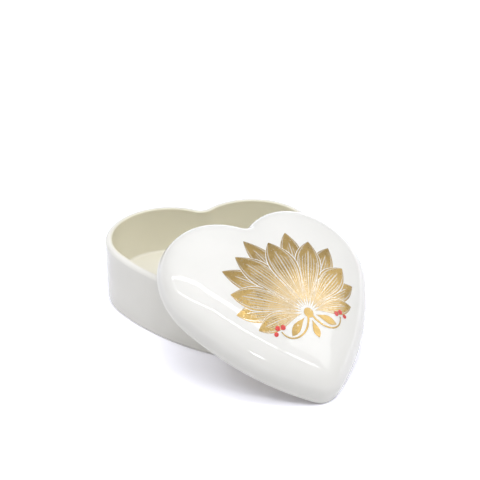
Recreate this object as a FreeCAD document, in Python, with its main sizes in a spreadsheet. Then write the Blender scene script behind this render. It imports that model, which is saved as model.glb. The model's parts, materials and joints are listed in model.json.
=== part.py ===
import FreeCAD, Part
import math
import os

import Sketcher

V = FreeCAD.Vector
UP = V(0, 0, 1)

DRIVING = {
    # Heart outline of the base, in plan
    "lobe_offset": 24.75,
    "lobe_radius": 35.25,
    "notch_radius": 5.4,
    "tip_radius": 12.4,
    "side_radius": 139,
    "tip_reach": 59.5,
    # Base bowl
    "base_height": 38,
    "base_wall": 4,
    "floor_height": 9,
    "foot_depth": 4.2,
    "foot_width": 4.5,
    "rim_round": 1.6,
    "foot_round": 1.5,
    "floor_round": 3,
    # Lid shell
    "skirt_gap": 0.3,
    "skirt_wall": 2.2,
    "skirt_depth": 3,
    "skirt_round": 0.8,
    "ledge_width": 2,
    "lid_side": 5.8,
    "lid_height": 23.1,
    "shell_wall": 3,
    "dome_centre": 12,
    "dome_plan_power": 2.1,
    "dome_rise_power": 1.92,
    "valley_fade": 50,
    # How the lid leans on the base
    "lean_angle": 30.8,
    "lean_heading": -52.8,
    "lid_turn": 21,
    "lean_shift": -20.2,
    "lean_gap": 0.3,
    # Closing plate and bedplate
    "plate_gap": 0.2,
    "plate_thickness": 2,
    "bed_thickness": 1.6,
    "bed_margin": 1.3,
    # Clearances of the movement
    "running_gap": 0.05,
    "press_gap": 0.02,
    "side_gap": 0.5,
    "end_gap": 0.3,
    # Screws
    "screw_radius": 0.8,
    "screw_head_radius": 1.5,
    "screw_head_height": 0.9,
    "screw_slot": 0.4,
    # Spring drum, arbor and key
    "barrel_reach": 28,
    "arbor_radius": 1.6,
    "core_radius": 2.6,
    "neck_height": 0.8,
    "drum_lift": 1.6,
    "drum_radius": 9.2,
    "drum_wall": 0.5,
    "drum_height": 7.4,
    "cap_thickness": 0.6,
    "flange_thickness": 1,
    "flange_margin": 0.5,
    "clip_thickness": 0.46,
    "clip_width": 1.6,
    "clip_groove": 0.4,
    "spring_thickness": 0.25,
    "spring_turns": 7,
    "wrap_wire": 0.34,
    "wrap_turns": 2,
    "key_stem_radius": 3.2,
    "key_stem_length": 8,
    "key_stand_off": 0.6,
    "key_wing_radius": 5,
    "key_wing_offset": 7,
    "key_wing_thickness": 2,
    "key_eye_radius": 2.2,
    # Crown wheel and cylinder
    "crown_teeth": 36,
    "crown_module": 0.6,
    "crown_face": 1.8,
    "pinion_teeth": 10,
    "cylinder_radius": 4,
    "cylinder_wall": 0.6,
    "cylinder_length": 16,
    "cylinder_end_thickness": 1.2,
    "cylinder_shaft_radius": 0.8,
    "pin_radius": 0.2,
    "pin_reach": 0.7,
    "pin_count": 72,
    "bracket_thickness": 1.4,
    "bracket_half_width": 3,
    "bracket_head": 2.2,
    "bracket_foot_length": 7.5,
    "bracket_foot_width": 2.8,
    "bracket_foot_height": 1.2,
    # Comb
    "comb_teeth": 18,
    "comb_gap": 0.3,
    "comb_tooth_length": 9.5,
    "comb_base": 5,
    "comb_thickness": 0.8,
    "comb_slot": 0.25,
    "comb_screw_depth": 2.4,
    # Governor
    "gear_teeth": 28,
    "gear_module": 0.4,
    "gear_face": 1.5,
    "governor_teeth": 8,
    "governor_shaft_radius": 0.6,
    "wheel_teeth": 18,
    "wheel_module": 0.35,
    "wheel_face": 0.9,
    "wheel_setback": 1.8,
    "worm_radius": 1.5,
    "worm_core": 0.8,
    "worm_length": 4.4,
    "worm_pivot_radius": 0.4,
    "worm_pivot_length": 0.8,
    "fan_radius": 4.5,
    "fan_height": 2,
    "fan_thickness": 0.4,
    "fan_hub_radius": 1.4,
    "brake_radius": 2.2,
    "brake_height": 0.8,
    "frame_thickness": 1.1,
    "frame_foot": 4,
    # Stop lever
    "stop_offset_x": 1.9,
    "stop_offset_y": 6.3,
    "stop_post_radius": 0.9,
    "stop_hub_radius": 1.8,
    "stop_arm_width": 1.2,
    "stop_arm_length": 6.6,
    "stop_rest_gap": 0.8,
    "stop_tab_reach": 10.5,
    "stop_tab_angle": -15,
    "stop_tab_width": 2,
    "stop_tab_drop": 2.2,
}

# Tooth form shared by every gear, as shares of the module or of the pitch
ADDENDUM = 0.8
DEDENDUM = 1.15
TOOTH_ROOT_SHARE = 0.48
TOOTH_TIP_SHARE = 0.2
WORM_STARTS = 2
# Share of the worm's core that its thread is rooted in
THREAD_ROOT_SHARE = 0.2
# Elevations of the dome's sections, in degrees from its spring line
DOME_ANGLES = (5, 15, 27, 40, 53, 65, 76, 86)
# How far an edge may stray from a height and still count as lying on it
LEVEL_TOLERANCE = 1e-4

document = FreeCAD.newDocument("MusicBox")
sheet = document.addObject("Spreadsheet::Sheet", "Sizes")


class Size:
    """A length with its value and the sheet expression that gives it."""

    def __init__(self, value, text):
        self.value = value
        self.text = text

    def __add__(self, other):
        other = as_size(other)
        return Size(self.value + other.value, f"({self.text} + {other.text})")

    def __sub__(self, other):
        other = as_size(other)
        return Size(self.value - other.value, f"({self.text} - {other.text})")

    def __mul__(self, other):
        other = as_size(other)
        return Size(self.value * other.value, f"({self.text} * {other.text})")

    def __truediv__(self, other):
        other = as_size(other)
        return Size(self.value / other.value, f"({self.text} / {other.text})")

    def __neg__(self):
        return Size(-self.value, f"(0 - {self.text})")

    __radd__ = __add__
    __rmul__ = __mul__


def as_size(number):
    if isinstance(number, Size):
        return number
    return Size(number, f"({number:.9f})")


ZERO = as_size(0)


class Sizes:
    """The driving dimensions, one attribute for each cell of the sheet."""

    def __init__(self, table):
        for row, (name, value) in enumerate(table.items(), start=1):
            sheet.set(f"A{row}", name)
            sheet.set(f"B{row}", str(value))
            sheet.setAlias(f"B{row}", name)
            setattr(self, name, Size(value, f"Sizes.{name}"))


s = Sizes(DRIVING)
document.recompute()


def bind(item, prop, size):
    item.setExpression(prop, as_size(size).text)


# Levels and places inside the lid, measured from its rim plane and the middle of its lobes
PLATE_TOP = s.skirt_depth + s.plate_thickness
BED_TOP = PLATE_TOP + s.bed_thickness
BARREL_Y = -s.barrel_reach
NECK_TOP = BED_TOP + s.neck_height
CORE_START = NECK_TOP + s.running_gap
FLANGE_START = BED_TOP + s.drum_lift
FLANGE_TOP = FLANGE_START + s.flange_thickness
DRUM_TOP = FLANGE_TOP + s.drum_height
CAP_TOP = DRUM_TOP + s.cap_thickness
CROWN_RADIUS = s.crown_teeth * s.crown_module / 2
FLANGE_RADIUS = CROWN_RADIUS + s.crown_face / 2 + s.flange_margin
PINION_RADIUS = s.pinion_teeth * s.crown_module / 2
AXIS_Z = FLANGE_TOP + s.crown_module * DEDENDUM + PINION_RADIUS
PINION_Y = BARREL_Y + CROWN_RADIUS - s.crown_face / 2
FRONT_BRACKET_Y = BARREL_Y + FLANGE_RADIUS + s.side_gap
GEAR_Y = FRONT_BRACKET_Y + s.bracket_thickness + s.side_gap
CYLINDER_Y = GEAR_Y + s.gear_face + s.end_gap
CYLINDER_END_Y = CYLINDER_Y + s.cylinder_length
REAR_BRACKET_Y = CYLINDER_END_Y + s.side_gap
SHAFT_END_Y = REAR_BRACKET_Y + s.bracket_thickness
COMB_TIP_X = -(s.cylinder_radius + s.pin_reach + s.comb_gap)
COMB_ROOT_X = COMB_TIP_X - s.comb_tooth_length
COMB_BACK_X = COMB_ROOT_X - s.comb_base
COMB_WIDTH = s.cylinder_length - s.end_gap * 2
COMB_Y = CYLINDER_Y + s.end_gap
COMB_Z = AXIS_Z - s.comb_thickness / 2
GOVERNOR_X = (s.gear_teeth + s.governor_teeth) * s.gear_module / 2
WHEEL_Y = GEAR_Y - s.wheel_setback
WHEEL_RADIUS = s.wheel_teeth * s.wheel_module / 2
WORM_X = GOVERNOR_X + WHEEL_RADIUS + s.worm_radius - s.wheel_module * ADDENDUM
FAN_Z = BED_TOP + s.end_gap
BRAKE_Z = FAN_Z + s.fan_height + s.end_gap
FRAME_TOP = AXIS_Z + WHEEL_RADIUS + s.wheel_module + s.side_gap
FRONT_LUG_Y = WHEEL_Y - s.worm_radius - s.side_gap - s.frame_thickness
REAR_LUG_Y = GEAR_Y + s.gear_face + s.side_gap
FRAME_X = WORM_X + s.fan_radius + s.side_gap
FRAME_FOOT_X = FRAME_X + s.frame_thickness + s.frame_foot
STOP_X = WORM_X + s.stop_offset_x
STOP_Y = WHEEL_Y - s.stop_offset_y
STOP_Z = BRAKE_Z
BED_FRONT_Y = BARREL_Y - FLANGE_RADIUS - s.bed_margin
BED_BACK_Y = SHAFT_END_Y + s.bed_margin
BED_LEFT_X = COMB_BACK_X - s.press_gap
BED_RIGHT_X = FRAME_FOOT_X + s.press_gap
SKIRT_OFFSET = s.skirt_gap + s.skirt_wall
PLATE_OFFSET = s.skirt_gap - s.ledge_width
CAVITY_OFFSET = PLATE_OFFSET - s.ledge_width
HOLE_RADIUS = s.screw_radius + s.running_gap


class Heart:
    """Heart outline of tangent arcs, offset outwards and then drawn in towards the dome's crown."""

    def __init__(self, offset=ZERO, scale=1.0):
        offset = as_size(offset)
        self.lobe_x = s.lobe_offset * scale
        self.lobe_radius = (s.lobe_radius + offset) * scale
        self.notch_radius = (s.notch_radius - offset) * scale + s.valley_fade * (1 - scale)
        self.tip_radius = (s.tip_radius + offset) * scale
        self.side_radius = (s.side_radius + offset) * scale
        self.line_y = s.dome_centre * (scale - 1)
        self.tip_y = self.line_y - s.tip_reach * scale

    def side_centre(self):
        lobe = V(self.lobe_x.value, self.line_y.value, 0)
        tip = V(0, self.tip_y.value, 0)
        from_lobe = self.side_radius.value - self.lobe_radius.value
        from_tip = self.side_radius.value - self.tip_radius.value
        gap = (tip - lobe).Length
        along = (from_lobe**2 - from_tip**2 + gap**2) / (2 * gap)
        across = math.sqrt(from_lobe**2 - along**2)
        step = (tip - lobe).normalize()
        return lobe + step * along + V(step.y, -step.x, 0) * across

    def notch_centre(self):
        reach = self.lobe_radius.value + self.notch_radius.value
        return V(0, self.line_y.value + math.sqrt(reach**2 - self.lobe_x.value**2), 0)

    def arcs(self):
        """Centre, radius, start and end direction of each arc, from the right lobe round by the notch."""
        lobe = V(self.lobe_x.value, self.line_y.value, 0)
        other = V(-lobe.x, lobe.y, 0)
        tip = V(0, self.tip_y.value, 0)
        side = self.side_centre()
        mirror = V(-side.x, side.y, 0)
        notch = self.notch_centre()
        to_side = heading(lobe - side)
        to_tip = heading(tip - side)
        to_notch = heading(notch - lobe)
        full = 2 * math.pi
        lobe_r, side_r = self.lobe_radius, self.side_radius
        return [
            (lobe, lobe_r, to_side, to_notch),
            (notch, self.notch_radius, math.pi + heading(notch - other), math.pi + to_notch),
            (other, lobe_r, math.pi - to_notch, math.pi - to_side),
            (mirror, side_r, math.pi - to_side, math.pi - to_tip),
            (tip, self.tip_radius, math.pi - to_tip, full + to_tip),
            (side, side_r, to_tip, to_side),
        ]

    def points(self, height, per_arc=160):
        """Points along the outline at one height."""
        spots = []
        for centre, radius, start, end in self.arcs():
            for step in range(per_arc):
                angle = start + (end - start) * step / per_arc
                spots.append(centre + V(math.cos(angle), math.sin(angle), 0) * radius.value + UP * height)
        return spots


def heading(vector):
    return math.atan2(vector.y, vector.x)


def new_body(label):
    body = document.addObject("PartDesign::Body", label)
    body.Label = label
    return body


def new_sketch(body, name, plane="XY_Plane", height=ZERO):
    sketch = body.newObject("Sketcher::SketchObject", name)
    support = next(item for item in body.Origin.OriginFeatures if item.Role == plane)
    sketch.AttachmentSupport = [(support, "")]
    sketch.MapMode = "FlatFace"
    bind(sketch, "AttachmentOffset.Base.z", height)
    return sketch


def dimension(sketch, size, *constraint):
    size = as_size(size)
    index = sketch.addConstraint(Sketcher.Constraint(*constraint, size.value))
    sketch.setExpression(f"Constraints[{index}]", size.text)


def place_point(sketch, item, point, x, y):
    dimension(sketch, x, "DistanceX", -1, 1, item, point)
    dimension(sketch, y, "DistanceY", -1, 1, item, point)


def draw_circle(sketch, x, y, radius):
    x, y, radius = as_size(x), as_size(y), as_size(radius)
    circle = Part.Circle(V(x.value, y.value, 0), UP, radius.value)
    item = sketch.addGeometry(circle, False)
    dimension(sketch, radius, "Radius", item)
    place_point(sketch, item, 3, x, y)


def draw_polygon(sketch, corners):
    corners = [(as_size(x), as_size(y)) for x, y in corners]
    spots = [V(x.value, y.value, 0) for x, y in corners]
    lines = []
    for start, end in zip(spots, spots[1:] + spots[:1]):
        lines.append(sketch.addGeometry(Part.LineSegment(start, end), False))
    for line, after in zip(lines, lines[1:] + lines[:1]):
        sketch.addConstraint(Sketcher.Constraint("Coincident", line, 2, after, 1))
    for line, (x, y) in zip(lines, corners):
        place_point(sketch, line, 1, x, y)


def draw_heart(sketch, heart):
    """The six tangent arcs of a heart, each radius and centre tied to the sheet."""
    items = []
    for centre, radius, start, end in heart.arcs():
        circle = Part.Circle(centre, UP, radius.value)
        items.append(sketch.addGeometry(Part.ArcOfCircle(circle, start, end), False))
    right, notch, left, left_side, tip, right_side = items
    joins = [(right, 2, notch, 2), (notch, 1, left, 1), (left, 2, left_side, 1)]
    joins += [(left_side, 2, tip, 1), (tip, 2, right_side, 1), (right_side, 2, right, 1)]
    for join in joins:
        sketch.addConstraint(Sketcher.Constraint("Tangent", *join))
    for item, (_, radius, _, _) in zip(items, heart.arcs()):
        dimension(sketch, radius, "Radius", item)
    place_point(sketch, right, 3, heart.lobe_x, heart.line_y)
    place_point(sketch, left, 3, -heart.lobe_x, heart.line_y)
    place_point(sketch, tip, 3, ZERO, heart.tip_y)


def heart_sketch(body, name, heart, height=ZERO):
    sketch = new_sketch(body, name, height=height)
    draw_heart(sketch, heart)
    return sketch


def pad(body, name, sketch, length, midplane=False):
    feature = body.newObject("PartDesign::Pad", name)
    feature.Profile = sketch
    feature.Midplane = midplane
    bind(feature, "Length", length)
    document.recompute()
    return feature


def pocket(body, name, sketch, length, upwards=False, midplane=False):
    before = body.Shape.Volume
    feature = body.newObject("PartDesign::Pocket", name)
    feature.Profile = sketch
    feature.Reversed = upwards
    feature.Midplane = midplane
    bind(feature, "Length", length)
    document.recompute()
    if body.Shape.Volume >= before:
        raise ValueError(f"{name} cuts nothing")
    return feature


def loft(body, kind, name, sketches):
    feature = body.newObject(kind, name)
    feature.Profile = sketches[0]
    feature.Sections = sketches[1:]
    document.recompute()
    return feature


def fillet_level(body, name, height, radius):
    """Round the edges that lie flat at one height."""
    base = body.Tip
    names = []
    for index, edge in enumerate(base.Shape.Edges, start=1):
        span = edge.BoundBox
        if max(abs(span.ZMin - height.value), abs(span.ZMax - height.value)) < LEVEL_TOLERANCE:
            names.append(f"Edge{index}")
    feature = body.newObject("PartDesign::Fillet", name)
    feature.Base = (base, names)
    bind(feature, "Radius", radius)
    document.recompute()


def turned(label, profile, y=ZERO):
    """A turned piece about the upright line through (0, y), from its half section."""
    body = new_body(label)
    sketch = new_sketch(body, f"{label}_section", "XZ_Plane")
    draw_polygon(sketch, profile)
    feature = body.newObject("PartDesign::Revolution", f"{label}_turn")
    feature.Profile = sketch
    feature.ReferenceAxis = (sketch, ["V_Axis"])
    feature.Angle = 360
    bind(body, "Placement.Base.y", y)
    document.recompute()
    return body


def tube_profile(inner, outer, bottom, top):
    return [(inner, bottom), (outer, bottom), (outer, top), (inner, top)]


def polar_copies(body, name, tooth, count):
    pattern = body.newObject("PartDesign::PolarPattern", name)
    pattern.Originals = [tooth]
    axis = next(item for item in body.Origin.OriginFeatures if item.Role == "Z_Axis")
    pattern.Axis = (axis, [""])
    pattern.Angle = 360
    bind(pattern, "Occurrences", count)
    body.Tip = pattern
    document.recompute()


def tooth_half_widths(module):
    pitch = module * math.pi
    return pitch * (TOOTH_ROOT_SHARE / 2), pitch * (TOOTH_TIP_SHARE / 2)


def spur_gear(label, teeth, module, face, bore):
    """A toothed wheel about its own Z axis, with one tooth along X."""
    body = new_body(label)
    root = teeth * module / 2 - module * DEDENDUM
    tip = teeth * module / 2 + module * ADDENDUM
    blank = new_sketch(body, f"{label}_blank")
    draw_circle(blank, ZERO, ZERO, root)
    draw_circle(blank, ZERO, ZERO, bore)
    pad(body, f"{label}_disc", blank, face)
    wide, narrow = tooth_half_widths(module)
    start = root - module * (DEDENDUM - ADDENDUM)
    outline = new_sketch(body, f"{label}_tooth_outline")
    draw_polygon(outline, [(start, -wide), (tip, -narrow), (tip, narrow), (start, wide)])
    tooth = pad(body, f"{label}_tooth", outline, face)
    polar_copies(body, f"{label}_teeth", tooth, teeth)
    return body


def along_y(body, x, y, z, phase=0.0):
    """Lay a wheel's axis along Y, its local X kept and its local Y turned to point down."""
    turn = FreeCAD.Rotation(V(1, 0, 0), -90) * FreeCAD.Rotation(UP, phase)
    body.Placement = FreeCAD.Placement(V(x.value, y.value, z.value), turn)
    return body


def box(name, low, high):
    item = document.addObject("Part::Box", name)
    for prop, start, end in zip(("Length", "Width", "Height"), low, high):
        bind(item, prop, as_size(end) - start)
    for axis, start in zip("xyz", low):
        bind(item, f"Placement.Base.{axis}", start)
    return item


def rod(name, spot, radius, length, direction=UP):
    item = document.addObject("Part::Cylinder", name)
    item.Placement = FreeCAD.Placement(V(), FreeCAD.Rotation(UP, direction))
    bind(item, "Radius", radius)
    bind(item, "Height", length)
    for axis, start in zip("xyz", spot):
        bind(item, f"Placement.Base.{axis}", start)
    return item


def fused(label, items):
    result = document.addObject("Part::MultiFuse", label)
    result.Label = label
    result.Shapes = items
    result.Refine = True
    return result


def cut(label, base, tools):
    result = document.addObject("Part::Cut", label)
    result.Label = label
    result.Base = base
    result.Tool = tools[0] if len(tools) == 1 else fused(f"{label}_tools", tools)
    result.Refine = True
    return result


def group(label, items):
    result = document.addObject("Part::Compound", label)
    result.Label = label
    result.Links = items
    return result


def screw(name, spot, seat, length, up=1):
    """A slotted screw whose head stands on the seat and whose shank runs the other way."""
    x, y = spot
    head_low = seat if up > 0 else seat - s.screw_head_height
    shank_low = seat - length if up > 0 else seat
    head = rod(f"{name}_head", (x, y, head_low), s.screw_head_radius, s.screw_head_height)
    shank = rod(f"{name}_shank", (x, y, shank_low), s.screw_radius, length)
    half = s.screw_slot / 2
    slot_low = head_low + s.screw_head_height / 2 if up > 0 else head_low
    reach = s.screw_head_radius
    low = (x - reach, y - half, slot_low)
    high = (x + reach, y + half, slot_low + s.screw_head_height / 2)
    return cut(name, fused(f"{name}_blank", [head, shank]), [box(f"{name}_slot", low, high)])


def screws(label, spots, seat, length, up=1):
    items = [screw(f"{label}_{n}", spot, seat, length, up) for n, spot in enumerate(spots)]
    return group(label, items)


MOUNT_SPOTS = [
    (BED_LEFT_X + s.bed_margin * 2, BED_FRONT_Y + s.bed_margin * 2),
    (BED_RIGHT_X - s.bed_margin * 2, BED_FRONT_Y + s.bed_margin * 2),
    (COMB_BACK_X + s.comb_base / 2, GEAR_Y),
]
BRACKET_SCREW_X = -(s.bracket_half_width + s.bracket_foot_length / 2)
BRACKET_SPOTS = [
    (BRACKET_SCREW_X, y + s.bracket_thickness - s.bracket_foot_width / 2)
    for y in (FRONT_BRACKET_Y, REAR_BRACKET_Y)
]
COMB_SPOTS = [
    (COMB_BACK_X + s.comb_base / 2, COMB_Y + s.screw_head_radius * 2),
    (COMB_BACK_X + s.comb_base / 2, COMB_Y + COMB_WIDTH - s.screw_head_radius * 2),
]
FRAME_SPOTS = [
    (FRAME_FOOT_X - s.frame_foot / 2, FRONT_LUG_Y + s.screw_head_radius),
    (FRAME_FOOT_X - s.frame_foot / 2, REAR_LUG_Y - s.screw_head_radius),
]


def base_bowl():
    """Open heart-shaped bowl on a foot ring."""
    body = new_body("base_bowl")
    pad(body, "base_block", heart_sketch(body, "base_outline", Heart()), s.base_height)
    inside = heart_sketch(body, "base_inside", Heart(-s.base_wall), s.base_height)
    pocket(body, "base_hollow", inside, s.base_height - s.floor_height)
    recess = heart_sketch(body, "foot_inside", Heart(-s.foot_width))
    pocket(body, "foot_recess", recess, s.foot_depth, upwards=True)
    fillet_level(body, "rim_rounding", s.base_height, s.rim_round)
    fillet_level(body, "floor_rounding", s.floor_height, s.floor_round)
    fillet_level(body, "foot_rounding", ZERO, s.foot_round)
    return body


def dome_sections(body, name, offset, spring_line, crown):
    """Sketches of a dome that rises from the spring line to the crown height."""
    sketches = [heart_sketch(body, f"{name}_0", Heart(offset), spring_line)]
    rise = crown - spring_line
    for angle in DOME_ANGLES:
        turn = math.radians(angle)
        scale = math.cos(turn) ** (2 / s.dome_plan_power.value)
        share = math.sin(turn) ** (2 / s.dome_rise_power.value)
        level = spring_line + rise * share
        sketches.append(heart_sketch(body, f"{name}_{angle}", Heart(offset, scale), level))
    return sketches


def lid_shell():
    """Domed cap: a skirt over the base's rim, a ledge for the closing plate and a hollow dome."""
    body = new_body("lid_shell")
    pad(body, "lid_wall", heart_sketch(body, "lid_outline", Heart(SKIRT_OFFSET)), s.lid_side)
    dome = dome_sections(body, "dome", SKIRT_OFFSET, s.lid_side, s.lid_height)
    loft(body, "PartDesign::AdditiveLoft", "lid_dome", dome)
    rebate = heart_sketch(body, "skirt_inside", Heart(s.skirt_gap))
    pocket(body, "skirt_rebate", rebate, s.skirt_depth, upwards=True)
    seat = heart_sketch(body, "plate_outline", Heart(PLATE_OFFSET), s.skirt_depth)
    pocket(body, "plate_seat", seat, s.plate_thickness, upwards=True)
    spring_line = PLATE_TOP
    crown = s.lid_height - s.shell_wall
    hollow = dome_sections(body, "hollow", CAVITY_OFFSET, spring_line, crown)
    loft(body, "PartDesign::SubtractiveLoft", "lid_hollow", hollow)
    fillet_level(body, "skirt_rounding", ZERO, s.skirt_round)
    return body


def closing_plate():
    """Heart-shaped plate that closes the lid and carries the movement."""
    body = new_body("closing_plate")
    outline = heart_sketch(body, "plate_edge", Heart(PLATE_OFFSET - s.plate_gap), s.skirt_depth)
    pad(body, "plate_sheet", outline, s.plate_thickness)
    holes = new_sketch(body, "plate_holes", height=PLATE_TOP)
    draw_circle(holes, ZERO, BARREL_Y, s.arbor_radius + s.end_gap)
    for x, y in MOUNT_SPOTS:
        draw_circle(holes, x, y, HOLE_RADIUS)
    pocket(body, "plate_bores", holes, s.plate_thickness)
    slot = new_sketch(body, "tab_slot_outline", height=PLATE_TOP)
    draw_polygon(slot, tab_slot_corners())
    pocket(body, "tab_slot", slot, s.plate_thickness)
    return body


def stop_angles():
    """Angles of the brake arm at rest and when it touches the brake hub, in degrees."""
    reach = math.hypot(s.stop_offset_x.value, s.stop_offset_y.value)
    toward = math.degrees(math.atan2(s.stop_offset_y.value, -s.stop_offset_x.value))
    clear = s.brake_radius.value + s.stop_arm_width.value / 2
    rest = toward - math.degrees(math.asin((clear + s.stop_rest_gap.value) / reach))
    held = toward - math.degrees(math.asin((clear + s.running_gap.value) / reach))
    return rest, held


def stop_tab_spot(swing):
    """Middle of the finger tab for a swing of the lever, in degrees."""
    turn = math.radians(s.stop_tab_angle.value + swing)
    return (
        STOP_X + s.stop_tab_reach * math.cos(turn),
        STOP_Y + s.stop_tab_reach * math.sin(turn),
    )


def tab_slot_corners():
    rest, held = stop_angles()
    margin = s.stop_tab_width / 2 + s.side_gap
    start_x, start_y = stop_tab_spot(0)
    end_x, end_y = stop_tab_spot(held - rest)
    low_x, high_x = start_x - margin, end_x + margin
    low_y, high_y = start_y - margin, end_y + margin
    return [(low_x, low_y), (high_x, low_y), (high_x, high_y), (low_x, high_y)]


def bedplate():
    """Flat bed of the movement with the comb's raised seat."""
    low = (BED_LEFT_X, BED_FRONT_Y, PLATE_TOP)
    sheet_box = box("bed_sheet", low, (BED_RIGHT_X, BED_BACK_Y, BED_TOP))
    seat = box(
        "comb_seat",
        (COMB_BACK_X, COMB_Y, PLATE_TOP),
        (COMB_ROOT_X, COMB_Y + COMB_WIDTH, COMB_Z),
    )
    bores = [rod("bush_bore", (ZERO, BARREL_Y, PLATE_TOP), s.core_radius + s.press_gap, s.bed_thickness)]
    pivot_low = BED_TOP - s.worm_pivot_length
    pivot_radius = s.worm_pivot_radius + s.running_gap
    bores.append(rod("worm_bore", (WORM_X, WHEEL_Y, pivot_low), pivot_radius, s.worm_pivot_length))
    post_radius = s.stop_post_radius + s.press_gap
    bores.append(rod("post_bore", (STOP_X, STOP_Y, PLATE_TOP), post_radius, s.bed_thickness))
    thread = s.screw_radius + s.press_gap
    for index, (x, y) in enumerate(MOUNT_SPOTS + BRACKET_SPOTS + FRAME_SPOTS):
        bores.append(rod(f"bed_bore_{index}", (x, y, PLATE_TOP), thread, s.bed_thickness))
    for index, (x, y) in enumerate(COMB_SPOTS):
        depth = COMB_Z - BED_TOP
        bores.append(rod(f"seat_bore_{index}", (x, y, BED_TOP), thread, depth))
    return cut("bedplate", fused("bed_blank", [sheet_box, seat]), bores)


def bracket(label, start):
    """Bearing bracket of the cylinder, with a screwed foot to its left."""
    end = start + s.bracket_thickness
    upright = box(
        f"{label}_upright",
        (-s.bracket_half_width, start, BED_TOP),
        (s.bracket_half_width, end, AXIS_Z + s.bracket_head),
    )
    foot = box(
        f"{label}_foot",
        (-s.bracket_half_width - s.bracket_foot_length, end - s.bracket_foot_width, BED_TOP),
        (-s.bracket_half_width, end, BED_TOP + s.bracket_foot_height),
    )
    bearing = s.cylinder_shaft_radius + s.running_gap
    bore = rod(f"{label}_bore", (ZERO, start, AXIS_Z), bearing, s.bracket_thickness, V(0, 1, 0))
    x, y = (BRACKET_SCREW_X, end - s.bracket_foot_width / 2)
    hole = rod(f"{label}_hole", (x, y, BED_TOP), HOLE_RADIUS, s.bracket_foot_height)
    return cut(label, fused(f"{label}_blank", [upright, foot]), [bore, hole])


def comb():
    """Steel comb: a plate slit into tuned teeth that reach the cylinder's pins."""
    body = new_body("comb")
    outline = new_sketch(body, "comb_outline", height=COMB_Z)
    low_y, high_y = COMB_Y, COMB_Y + COMB_WIDTH
    corners = [(COMB_BACK_X, low_y), (COMB_TIP_X, low_y), (COMB_TIP_X, high_y), (COMB_BACK_X, high_y)]
    draw_polygon(outline, corners)
    pad(body, "comb_plate", outline, s.comb_thickness)
    holes = new_sketch(body, "comb_holes", height=COMB_Z + s.comb_thickness)
    for x, y in COMB_SPOTS:
        draw_circle(holes, x, y, HOLE_RADIUS)
    pocket(body, "comb_bores", holes, s.comb_thickness)
    pitch = COMB_WIDTH / s.comb_teeth
    slit = new_sketch(body, "slit_outline", height=COMB_Z + s.comb_thickness)
    first = COMB_Y + pitch - s.comb_slot / 2
    last = first + s.comb_slot
    overrun = COMB_TIP_X + s.comb_gap
    draw_polygon(slit, [(COMB_ROOT_X, first), (overrun, first), (overrun, last), (COMB_ROOT_X, last)])
    cut_one = pocket(body, "slit", slit, s.comb_thickness)
    pattern = body.newObject("PartDesign::LinearPattern", "slits")
    pattern.Originals = [cut_one]
    pattern.Direction = (slit, ["V_Axis"])
    bind(pattern, "Length", pitch * (s.comb_teeth - 2))
    bind(pattern, "Occurrences", s.comb_teeth - 1)
    body.Tip = pattern
    document.recompute()
    return body


def arbor_bush():
    inner = s.arbor_radius + s.running_gap
    return turned("arbor_bush", tube_profile(inner, s.core_radius, PLATE_TOP, NECK_TOP), BARREL_Y)


def wrap_spring():
    """Close-wound one-way spring that grips the bush and the arbor side by side."""
    wire = s.wrap_wire.value / 2
    radius = s.core_radius.value + s.press_gap.value + wire
    pitch = s.wrap_wire.value + 2 * s.running_gap.value
    length = pitch * s.wrap_turns.value
    start = CORE_START.value - length / 2
    path = Part.Wire(helix_arcs(radius, pitch, s.wrap_turns.value))
    circle = Part.Circle(V(radius, 0, 0), V(0, 1, 0), wire)
    coil = path.makePipeShell([Part.Wire(circle.toShape())], True, False)
    return free_shape("wrap_spring", coil, V(0, BARREL_Y.value, start))


def helix_arcs(radius, pitch, turns):
    """Quarter-turn arcs that climb along a helix."""

    def on_helix(quarters):
        turn = quarters * math.pi / 2
        return V(radius * math.cos(turn), radius * math.sin(turn), pitch * quarters / 4)

    return [
        Part.Arc(on_helix(q), on_helix(q + 0.5), on_helix(q + 1)).toShape()
        for q in range(int(round(turns * 4)))
    ]


def free_shape(label, shape, spot):
    item = document.addObject("Part::Feature", label)
    item.Label = label
    item.Shape = shape
    item.Placement = FreeCAD.Placement(spot, FreeCAD.Rotation())
    return item


def winding_arbor():
    """Arbor from the key's stem up through the drum, with the clip's groove near its top."""
    slim, core = s.arbor_radius, s.core_radius
    neck = slim - s.clip_groove
    bottom = s.skirt_depth - s.key_stand_off - s.key_stem_length / 2
    groove_low = CAP_TOP + s.running_gap
    groove_high = groove_low + s.clip_thickness + s.running_gap * 2
    profile = [
        (ZERO, bottom), (slim, bottom), (slim, CORE_START), (core, CORE_START),
        (core, DRUM_TOP - s.running_gap), (slim, DRUM_TOP - s.running_gap),
        (slim, groove_low), (neck, groove_low), (neck, groove_high),
        (slim, groove_high), (slim, groove_high + s.end_gap), (ZERO, groove_high + s.end_gap),
    ]
    return turned("winding_arbor", profile, BARREL_Y)


def retaining_clip():
    """Open spring clip in the arbor's groove."""
    inner = s.arbor_radius - s.clip_groove + s.press_gap
    outer = s.arbor_radius + s.clip_width
    low = CAP_TOP + s.running_gap * 2
    disc = rod("clip_disc", (ZERO, BARREL_Y, low), outer, s.clip_thickness)
    hole = rod("clip_hole", (ZERO, BARREL_Y, low), inner, s.clip_thickness)
    corner = (-inner, BARREL_Y, low)
    mouth = box("clip_mouth", corner, (inner, BARREL_Y + outer, low + s.clip_thickness))
    return cut("retaining_clip", disc, [hole, mouth])


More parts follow.
